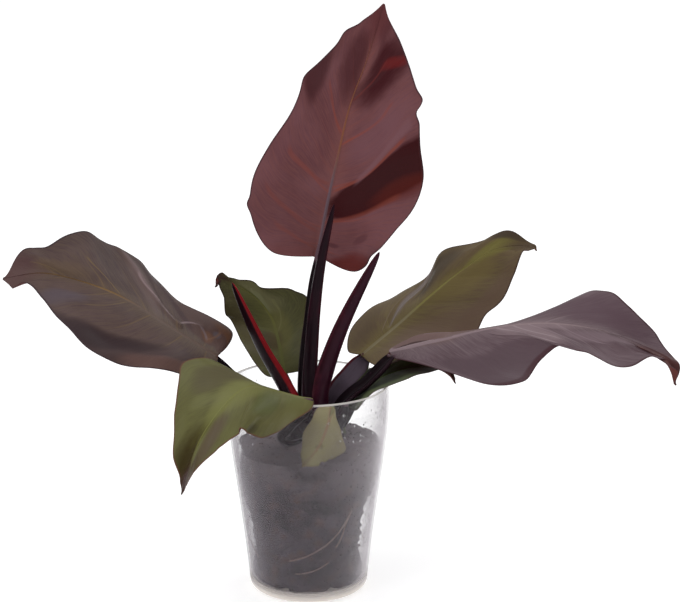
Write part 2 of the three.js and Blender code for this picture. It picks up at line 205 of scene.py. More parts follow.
# a path in even steps, each with its tangent, its normal and the side to the left of it
def walk(points, facing, steps):
    fine = through(points, np.linspace(0, 1, 1600), openEnds=True)
    reach = np.concatenate([[0], np.cumsum(np.linalg.norm(np.diff(fine, axis=0), axis=1))])
    even = np.linspace(0, reach[-1], steps + 1)
    origin = np.stack([np.interp(even, reach, fine[:, k]) for k in range(3)], axis=1)
    tangent = unit(np.gradient(origin, axis=0))
    normal = np.zeros_like(origin)
    carried = np.array(facing, float)
    for i in range(steps + 1):
        carried = unit(carried - tangent[i] * carried.dot(tangent[i]))
        normal[i] = carried
    side = np.cross(normal, tangent)
    return {
        "origin": origin,
        "tangent": tangent,
        "normal": normal,
        "side": side,
        "length": reach[-1],
    }


def readWalk(path, shares):
    steps = len(path["origin"]) - 1
    place = np.clip(shares, 0, 1) * steps
    i = np.minimum(place.astype(int), steps - 1)
    w = (place - i)[:, None]
    read = {k: path[k][i] * (1 - w) + path[k][i + 1] * w for k in ("origin", "tangent", "normal", "side")}
    for key in ("tangent", "normal", "side"):
        read[key] = unit(read[key])
    return read


def turnAbout(vectors, axes, angles):
    c, s = np.cos(angles)[:, None], np.sin(angles)[:, None]
    onAxis = np.sum(vectors * axes, axis=1, keepdims=True)
    return vectors * c + np.cross(axes, vectors) * s + axes * onAxis * (1 - c)


# Meshes
def newPiece(name, points, faces, attributes=None, smoothBelow=60):
    mesh = bpy.data.meshes.new(name)
    mesh.from_pydata(np.asarray(points, float).reshape(-1, 3).tolist(), [], faces)
    mesh.validate()
    for key, values in (attributes or {}).items():
        values = np.asarray(values, np.float32)
        kind, field = ("FLOAT", "value") if values.ndim == 1 else ("FLOAT_VECTOR", "vector")
        mesh.attributes.new(key, kind, "POINT").data.foreach_set(field, values.ravel())
    mesh.shade_smooth()
    mesh.set_sharp_from_angle(angle=math.radians(smoothBelow))
    piece = bpy.data.objects.new(name, mesh)
    bpy.context.scene.collection.objects.link(piece)
    return piece


def dress(piece, material, slot, *nodes):
    piece.data.materials.clear()
    piece.data.materials.append(material)
    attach(piece, "root")
    if nodes:
        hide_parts(*nodes)


# faces of a grid of rows, closed round its columns if it is a tube
def gridFaces(rows, columns, closed=False, start=0, flip=False):
    faces = []
    for i in range(rows - 1):
        for j in range(columns if closed else columns - 1):
            a, b = start + i * columns + j, start + i * columns + (j + 1) % columns
            face = (a, b, b + columns, a + columns)
            faces.append(face[::-1] if flip else face)
    return faces


# a closed loft: rings of points along a path, with a hub at either end
def loft(name, rings, attributes=None, smoothBelow=60):
    rows, columns = rings.shape[:2]
    points = np.vstack([rings.reshape(-1, 3), rings[0].mean(0), rings[-1].mean(0)])
    faces = gridFaces(rows, columns, closed=True)
    last = (rows - 1) * columns
    for j in range(columns):
        k = (j + 1) % columns
        faces.append((k, j, rows * columns))
        faces.append((last + j, last + k, rows * columns + 1))
    padded = {}
    for key, values in (attributes or {}).items():
        flat = np.asarray(values, float).reshape(rows * columns, -1)
        padded[key] = np.vstack([flat, flat[:1], flat[-1:]]).squeeze()
    return newPiece(name, points, faces, padded, smoothBelow)


# Leaves
bladeForm = {
    "thickness": 0.8,
    "edgeThickness": 0.3,
    "keel": 2.0,
    "keelLoss": 0.85,
    "keelHalfWidth": 2.4,
    "grooveDepth": 0.35,
    "ribBend": 0.35,
    "rootPower": 1.45,
    "lobeShare": 0.25,
    "midribSteps": 160,
    "rows": 170,
    "columns": 26,  # across each half
    "smallLeaves": ["low", "back", "inner"],
    "smallRows": 90,
    "smallColumns": 16,
    "evenness": 0.55,  # at 1 the columns are even, below it they are closer at midrib and margin
    "veins": [0.167, 0.333, 0.5, 0.667, 0.833],  # where main veins leave the midrib
    "veinSweep": 0.35,  # how far a vein runs ahead of the side ribs
    "veinDepth": 0.28,
    "quilting": 0.22,  # how far the blade swells between two veins
    "naturalLength": 190,  # a shorter blade has finer ripples and veins
}
# where along the blade each side rib ends, and how wide the blade is there
outline = [
    (0, 0.05), (0.01, 0.66), (0.11, 0.92), (0.25, 1), (0.39, 0.97), (0.53, 0.86), (0.66, 0.7),
    (0.78, 0.5), (0.885, 0.27), (0.95, 0.1), (1, 0.012),
]

# Each leaf has the path of its midrib, the way that its upper face looks, a form for each half,
# and the path and two widths of its petiole. A place on a blade is (vein, across): from 0 at its
# base to 1 at its tip, along the side ribs, and from -1 at the right margin over the midrib to 1
# at the left one. A nick is (half, place along it, depth, width): the half is 1 for the left one
# and -1 for the right one, and a depth below 0 makes a bulge.
# A fold is (place, size, height), and a crease (line, width, height).
leaves = {
    "tall": {
        "midrib": [
            (7, 8, 254), (15, 7, 297), (23, 7, 333), (31, 10, 366), (43, 15, 398), (55.5, 18, 439),
        ],
        "facing": (0.1, 1, 0.1),
        "left": {
            "width": 66, "lobe": 6, "lift": [-14, -8, -4, -10, -14, -6], "curl": 10,
            "swell": [0.8, 0.72, 0.76, 0.94, 1.02, 1, 1.12, 1.14, 1.08, 1.05, 1],
        },
        "right": {
            "width": 60, "lobe": 4, "lift": [-12, -10, -12, -8, -6, -4], "curl": 10,
            "swell": [0.9, 0.84, 0.94, 0.96, 0.88, 0.78, 0.84, 0.82, 0.98, 1.1, 1],
        },
        "veins": {
            "left": [0.13, 0.285, 0.44, 0.6, 0.745, 0.87],
            "right": [0.13, 0.225, 0.39, 0.61, 0.75, 0.87],
        },
        "nicks": [
            (1, 0.575, 3.6, 0.018), (1, 0.545, 1.2, 0.03), (1, 0.622, -2.6, 0.018),
            (1, 0.17, 2.2, 0.02), (-1, 0.24, -2.4, 0.016), (-1, 0.765, -3.5, 0.035),
            (-1, 0.61, -2, 0.03),
        ],
        "folds": [
            ((0.33, 0.7), (0.07, 0.5), 3), ((0.47, 0.7), (0.06, 0.5), -2.4),
            ((0.62, 0.6), (0.07, 0.4), 2), ((0.6, -0.7), (0.07, 0.5), 2),
            ((0.3, -0.7), (0.09, 0.4), -2),
        ],
        "petiole": [(1, 7, 119), (-3, 4, 151), (-2, 4, 182), (2, 5, 218)], "stalk": (5.2, 3.4),
        "look": "red", "slot": "leaf_red",
    },
    "left": {
        "midrib": [
            (-67, 0, 179), (-97, -4, 200), (-132, -6, 224), (-161, -4, 236), (-194, 0, 243),
            (-225, 4, 238),
        ],
        "facing": (0.25, -0.7, 0.65), "twist": [24, 26, 26, 14, 0, 0],
        "left": {
            "width": 62, "lobe": 4, "lift": [-10, -8, -12, -12, -4, 0], "curl": -10,
            "swell": [0.7, 0.7, 0.6, 0.76, 1, 1.14, 1.06, 0.82, 0.78, 1.9, 1.4],
        },
        "right": {
            "width": 62, "lobe": 10, "lift": [0, -8, -8, 2, 16, 0], "curl": [-10, -20, -20, 0, 0, 0],
            "swell": [1, 1, 0.88, 0.84, 1, 1.08, 1.12, 1.2, 1, 2, 1],
        },
        "nicks": [
            (-1, 0.66, -4.4, 0.036), (-1, 0.757, 4, 0.03), (-1, 0.44, -4.5, 0.034), (-1, 0.24, 4, 0.06),
        ],
        "creases": [
            ([(0.44, -0.95), (0.434, -0.53), (0.404, -0.26), (0.32, -0.15)], 3, 1.6),
            ([(0.32, -0.15), (0.255, -0.32), (0.19, -0.49)], 3, 0.8),
        ],
        "folds": [
            ((0.45, 0.7), (0.1, 0.35), -3), ((0.62, 0.6), (0.08, 0.4), 2.5),
            ((0.27, 0.75), (0.08, 0.3), 2), ((0.55, -0.6), (0.1, 0.5), -2.5),
            ((0.78, -0.5), (0.07, 0.5), 2),
        ],
        "petiole": [(-6, 4, 119), (-11, 5, 134), (-34, 4, 149), (-54, 2, 163)], "stalk": (5, 3),
        "look": "dusk", "slot": "leaf_dark",
    },
    "upright": {
        "midrib": [
            (40, 18, 175), (65, 35, 192), (92, 52, 212), (117, 66, 229), (143, 76, 243), (169, 84, 244),
            (176, 86, 240),
        ],
        "facing": (-0.3, -0.75, 0.6),
        "left": {
            "width": 50, "lobe": 5, "lift": [0, -5, -12, -22, -34, -34, -16, -8, -8, 0, 0],
            "curl": [0, -10, -20, -40, -50, -40, -15, 0, 0, 0, 0],
            "swell": [0.4, 0.38, 0.62, 0.72, 0.84, 0.7, 0.78, 0.5, 0.84, 0.8, 1],
        },
        "right": {
            "width": 56, "lobe": 4, "lift": [25, 25, 22, 10, -5, -10, -10, -10, -10, -5, 0],
            "curl": -10, "swell": [0.6, 0.65, 0.75, 0.86, 0.92, 0.86, 1, 1, 1, 1, 1],
        },
        "creases": [([(0.45, 0.9), (0.41, 0.5), (0.34, 0.15)], 3, -1.2)],
        "folds": [
            ((0.5, 0.6), (0.08, 0.5), -2.5), ((0.66, 0.6), (0.08, 0.5), 2.5),
            ((0.45, -0.7), (0.12, 0.4), 2), ((0.7, -0.6), (0.1, 0.4), -2),
        ],
        "nicks": [(1, 0.77, 2, 0.05)],
        "petiole": [(13, 9, 119), (15, 9, 138), (22, 10, 153), (29, 12, 161.5)], "stalk": (7.5, 5.5),
        "wings": (0.7, 0), "look": "bronze", "slot": "leaf_olive",
    },
    "right": {
        "midrib": [
            (60, -10, 186), (97, -25, 200), (132, -40, 212), (171, -52, 219), (209, -60, 216),
            (243, -64, 202), (257, -66, 193), (264, -66, 177),
        ],
        "facing": (-0.35, -0.35, 0.93),
        "left": {
            "width": 58, "lobe": 0, "lift": [-36, -38, -38, -38, -37, -31, -8, 4, -5, -10, 0],
            "curl": 0, "swell": [0.4, 0.45, 0.6, 0.8, 0.95, 1, 1, 0.88, 0.76, 0.9, 1],
        },
        "right": {
            "width": 52, "lobe": 4, "lift": [-70, -76, -78, -78, -76, -50, -12, -16, -12, -6, 0],
            "curl": -10, "swell": [0.1, 0.14, 0.36, 0.82, 0.94, 0.54, 0.8, 1.13, 0.62, 0.9, 1],
        },
        "creases": [
            ([(0.05, 0.1), (0.17, 0.11), (0.28, 0.08), (0.37, 0.03)], 2.2, -1.1),
            ([(0.04, 0.03), (0.16, 0.03), (0.3, 0.01)], 2.4, 0.8),
            ([(0.5, -0.1), (0.52, -0.3), (0.56, -0.6)], 3, 1),
            ([(0.8, -0.05), (0.88, 0.3), (0.9, 0.7)], 2.4, 0.8),
        ],
        "folds": [
            ((0.22, 0.2), (0.13, 0.14), 7.5), ((0.36, -0.7), (0.08, 0.4), 2.5),
            ((0.62, 0.7), (0.1, 0.4), -2), ((0.72, -0.6), (0.1, 0.5), -2),
        ],
        "nicks": [
            (1, 0.46, -3.6, 0.04), (1, 0.57, 3.6, 0.025), (1, 0.645, -3.8, 0.025), (1, 0.72, 3, 0.04),
            (-1, 0.533, 5, 0.028), (-1, 0.735, -3.6, 0.03), (-1, 0.845, 6, 0.035),
        ],
        "petiole": [(14, -3, 119), (22, -3, 140), (31, -4, 151.5), (40, -6, 159), (48, -7, 167)],
        "stalk": (6.4, 5.2), "look": "plum", "slot": "leaf_dark",
    },
    "front": {
        "midrib": [
            (4, -57, 164.5), (-7, -65, 169), (-23, -75, 176), (-41, -84, 181), (-57, -93, 171),
            (-73, -101, 150), (-82, -105, 129), (-88, -107, 109),
        ],
        "facing": (-0.3, -0.3, 0.9),
        "left": {
            "width": 46, "lobe": 0, "lift": [-40, -52, -58, -50, -40, -30, -20, -10, 0, 0, 0],
            "curl": -20, "swell": [0.2, 0.26, 0.44, 0.74, 0.97, 0.93, 0.8, 0.8, 0.9, 1, 1],
        },
        "right": {
            "width": 52, "lobe": 0, "lift": [-20, -26, -22, -10, -3, 13, 11, 4, 0, 0, 0], "curl": 0,
            "swell": [0.9, 0.9, 0.9, 0.9, 0.96, 1.08, 1, 1.04, 1.05, 1, 1],
        },
        "creases": [([(0.36, 0.74), (0.36, 0.98)], 1.8, -1.8)],
        "folds": [
            ((0.4, 0.6), (0.08, 0.4), 2.2), ((0.58, 0.6), (0.1, 0.4), -2),
            ((0.6, -0.6), (0.1, 0.5), 2.4), ((0.78, -0.5), (0.09, 0.5), -2),
        ],
        "nicks": [(-1, 0.468, 7.5, 0.028), (-1, 0.516, -4.5, 0.018)],
        "petiole": [(-5, -8, 119), (-15, -20, 120), (-19, -30, 127), (-12, -38, 137), (-3, -46, 148)],
        "stalk": (4.4, 2.4), "look": "olive", "slot": "leaf_olive",
    },
    "low": {
        "midrib": [
            (26, 7, 141), (42, 9, 152.5), (60, 8, 163), (78, 4, 169), (94, 1, 170.5), (104, -3, 167),
            (110, -5, 160),
        ],
        "facing": (-0.3, 0, 1),
        "left": {
            "width": 20, "lobe": 0, "lift": [20, 20, 20, 15, 0, 0], "curl": 0,
            "swell": [0.2, 0.7, 0.85, 0.6, 0.6, 1],
        },
        "right": {
            "width": 30, "lobe": 0, "lift": [-50, -32, -8, 4, 2, -4, 0, 0, 0, 0, 0], "curl": 0,
            "swell": [0.7, 0.8, 0.9, 1, 1, 1, 0.9, 0.8, 0.8, 1, 1],
        },
        "nicks": [(-1, 0.08, 10, 0.07)], "petiole": [(12, -5, 119), (19, 2, 138)], "stalk": (4, 2),
        "look": "green", "slot": "leaf_olive",
    },
    "back": {
        "midrib": [
            (-18, 16, 161), (-22, 28, 181), (-28, 38, 199), (-39, 42, 213), (-53, 44, 222),
            (-63, 44, 228), (-71, 42, 222),
        ],
        "facing": (-0.1, -0.85, 0.4),
        "left": {
            "width": 36, "lobe": 0, "lift": [-10, -10, -10, -10, 0, 0], "curl": 0,
            "swell": [0.5, 0.62, 0.86, 1.14, 0.95, 1],
        },
        "right": {
            "width": 38, "lobe": 0, "lift": [0, 5, 0, 0, 0, 0], "curl": 0,
            "swell": [0.7, 0.68, 0.8, 0.92, 0.92, 0.74, 0.34, 0.25, 0.2, 0.3, 0.4],
        },
        "nicks": [
            (-1, 0.29, 8, 0.13), (-1, 0.5, -5, 0.04), (-1, 0.55, -3.5, 0.02), (-1, 0.61, 2.8, 0.03),
            (-1, 0.72, 2, 0.03),
        ],
        "petiole": [(-1, 12, 119), (-8, 14, 140)], "stalk": (4.4, 2.4), "look": "moss",
        "slot": "leaf_olive",
    },
    "inner": {
        "midrib": [(18, -38, 152), (15, -43, 140), (8, -47, 124), (-4, -49, 109.5)],
        "facing": (0, -0.8, 0.5),
        "left": {
            "width": 16, "lobe": 0, "lift": [-10, -20, -25, -25, -20, 0], "curl": -20,
            "swell": [0.2, 0.5, 0.95, 1.3, 1.5, 1],
        },
        "right": {
            "width": 18, "lobe": 0, "lift": [-10, -15, -15, -15, -10, 0], "curl": -10,
            "swell": [0.7, 0.9, 1, 1.25, 1.4, 1],
        },
        "nicks": [
            (-1, 0.62, 2.5, 0.14), (-1, 0.28, 3.6, 0.16), (1, 0.24, 3.6, 0.12), (1, 0.5, -4.4, 0.07),
        ],
        "petiole": [(8, -12, 119), (14, -22, 142)], "stalk": (3, 1.6), "look": "pale",
        "slot": "leaf_olive",
    },
}


# points of one half of a blade: a row for each side rib, from the midrib to the margin
def halfBlade(leaf, path, rows, shares, hand):
    half = leaf["left" if hand > 0 else "right"]
    root = rows ** bladeForm["rootPower"]
    end = through(outline, rows)
    at = readWalk(path, root)
    twist = np.radians(along(leaf.get("twist", 0), root))
    normal = turnAbout(at["normal"], at["tangent"], twist)
    side = turnAbout(at["side"], at["tangent"], twist)
    lobe = half["lobe"] * np.sin(math.pi * np.minimum(rows / bladeForm["lobeShare"], 1))
    forward = (end[:, 0] - root) * path["length"] - lobe
    across = end[:, 1] * half["width"] * along(half["swell"], rows)
    for nickHand, place, depth, width in leaf.get("nicks", []):
        if nickHand == hand:
            across = across - depth * np.exp(-(((rows - place) / width) ** 2))
    curl = np.radians(along(half["curl"], rows))
    curl = np.where(np.abs(curl) < 1e-6, 1e-6, curl)
    lift = np.radians(along(half["lift"], rows)) - curl / 2
    turned = lift[:, None] + curl[:, None] * shares
    out = across[:, None] * (np.sin(turned) - np.sin(lift[:, None])) / curl[:, None]
    rise = across[:, None] * (np.cos(lift[:, None]) - np.cos(turned)) / curl[:, None]
    bend = bladeForm["ribBend"]
    run = forward[:, None] * shares * (1 - bend + bend * shares)
    points = (
        at["origin"][:, None]
        + side[:, None] * (hand * out)[..., None]
        + normal[:, None] * rise[..., None]
        + at["tangent"][:, None] * run[..., None]
    )
    return points, np.hypot(forward, across)


# 1 at the first main vein, 2 at the second, and so on
def countVeins(vein, marks):
    return np.interp(vein, [0, *marks, 1], np.arange(len(marks) + 2))


# distance in mm from each point of a blade to a line drawn over it
def reachOfLine(place, line, scale):
    nearest = np.full(place.shape[:-1], np.inf)
    for start, end in zip(line, line[1:]):
        start, end = np.array(start) * scale, np.array(end) * scale
        run = end - start
        reached = np.clip(((place * scale - start) @ run) / run.dot(run), 0, 1)
        gap = np.linalg.norm(place * scale - start - reached[..., None] * run, axis=-1)
        nearest = np.minimum(nearest, gap)
    return nearest


def makeBlade(name, leaf, material, rowsCount, columns):
    path = walk(leaf["midrib"], leaf["facing"], bladeForm["midribSteps"])
    rows = np.linspace(0, 1, rowsCount)
    shares = np.linspace(0, 1, columns + 1)
    even = bladeForm["evenness"]
    shares = even * shares + (1 - even) * (3 * shares**2 - 2 * shares**3)
    rightPoints, rightReach = halfBlade(leaf, path, rows, shares, -1)
    leftPoints, leftReach = halfBlade(leaf, path, rows, shares, 1)
    middle = np.hstack([rightPoints[:, :0:-1], leftPoints])
    signed = np.concatenate([-shares[:0:-1], shares])
    reach = np.hstack([rightReach[:, None].repeat(columns, 1), leftReach[:, None].repeat(columns + 1, 1)])
    share = np.abs(signed)[None].repeat(rowsCount, 0)
    t = rows[:, None].repeat(len(signed), 1)
    fromMidrib = share * reach

    # veins run from the midrib to the margin and bend towards the tip
    hand = np.sign(signed)[None]
    wobble = 0.012 * np.sin(23 * t + 2 * hand) + 0.01 * np.sin(9 * share + 5 * hand)
    vein = t - bladeForm["veinSweep"] * share * t * (1 - t) + wobble * share + 0.03 * (hand > 0)
    marks = leaf.get("veins", {"left": bladeForm["veins"], "right": bladeForm["veins"]})
    lane = np.where(hand > 0, countVeins(vein, marks["left"]), countVeins(vein, marks["right"]))
    phase = np.abs(lane % 1 - 0.5) * 2  # 1 on a vein, 0 between two
    fade = np.clip(share * 6, 0, 1) * np.clip((1 - share) * 3, 0, 1) * np.clip((1 - t) * 5, 0, 1)
    relief = -bladeForm["veinDepth"] * phase**10 * fade + bladeForm["quilting"] * (1 - phase**2) * fade

    across = np.gradient(middle, axis=1)
    lengthwise = np.gradient(middle, axis=0)
    normal = unit(np.cross(across, lengthwise))
    if np.sum(normal * np.array(leaf["facing"], float)) < 0:
        normal = -normal
    size = path["length"] / bladeForm["naturalLength"]
    folds = 0 * t
    scale = np.array([path["length"], leaf["left"]["width"]])
    spot = np.stack([vein, signed[None] + 0 * t], axis=-1)
    for line, width, height in leaf.get("creases", []):
        folds = folds + height * np.exp(-((reachOfLine(spot, line, scale) / width) ** 2))
    inland = np.clip(share * 4, 0, 1) * np.clip((1 - share) * 4, 0, 1)  # 0 at midrib and margin
    for place, reached, height in leaf.get("folds", []):
        x = (vein - place[0]) / reached[0]
        y = (signed[None] - place[1]) / reached[1]
        folds = folds + height * np.exp(-(x**2) - y**2) * inland
    ripple = size * share**2.2 * np.sin(math.pi * t) ** 0.5
    wave = np.sin(math.tau * (3.3 * t + 0.37 * hand)) + 0.6 * np.sin(math.tau * (7.1 * t + 0.21 * hand))
    lift = ripple * wave + relief * min(size, 1) + folds
    middle = middle + normal * lift[..., None]

    keelWidth = bladeForm["keelHalfWidth"] * (1 - 0.75 * t) * min(size + 0.15, 1)
    onKeel = np.clip(1 - (fromMidrib / keelWidth) ** 2, 0, 1) ** 1.5
    keel = bladeForm["keel"] * (1 - bladeForm["keelLoss"] * t) * onKeel
    groove = bladeForm["grooveDepth"] * np.clip(1 - (fromMidrib / (0.6 * keelWidth)) ** 2, 0, 1)
    half = bladeForm["thickness"] / 2
    thin = half - (half - bladeForm["edgeThickness"] / 2) * share**3
    upper = middle + normal * (thin - groove)[..., None]
    under = middle - normal * (thin + keel)[..., None]

    columnsAll = len(signed)
    count = rowsCount * columnsAll
    points = np.vstack([upper.reshape(-1, 3), under.reshape(-1, 3)]) * mm
    faces = gridFaces(rowsCount, columnsAll) + gridFaces(rowsCount, columnsAll, start=count, flip=True)
    border = list(range(columnsAll))
    border += [i * columnsAll + columnsAll - 1 for i in range(1, rowsCount)]
    border += [(rowsCount - 1) * columnsAll + j for j in range(columnsAll - 2, -1, -1)]
    border += [i * columnsAll for i in range(rowsCount - 2, 0, -1)]
    for a, b in zip(border, border[1:] + border[:1]):
        faces.append((b, a, a + count, b + count))
    one = np.stack([vein, signed[None] + 0 * t, fromMidrib], axis=-1).reshape(-1, 3)
    margin = ((1 - share) * reach).reshape(-1)
    attributes = {
        "place": np.vstack([one, one]),
        "along": np.tile(t.reshape(-1), 2),
        "margin": np.tile(margin, 2),
        "underside": np.repeat([0.0, 1.0], count),
        "lane": np.tile(lane.reshape(-1), 2),
    }
    piece = newPiece("leaf_" + name, points, faces, attributes)
    dress(piece, material, leaf["slot"], "blade_" + name)
    return path


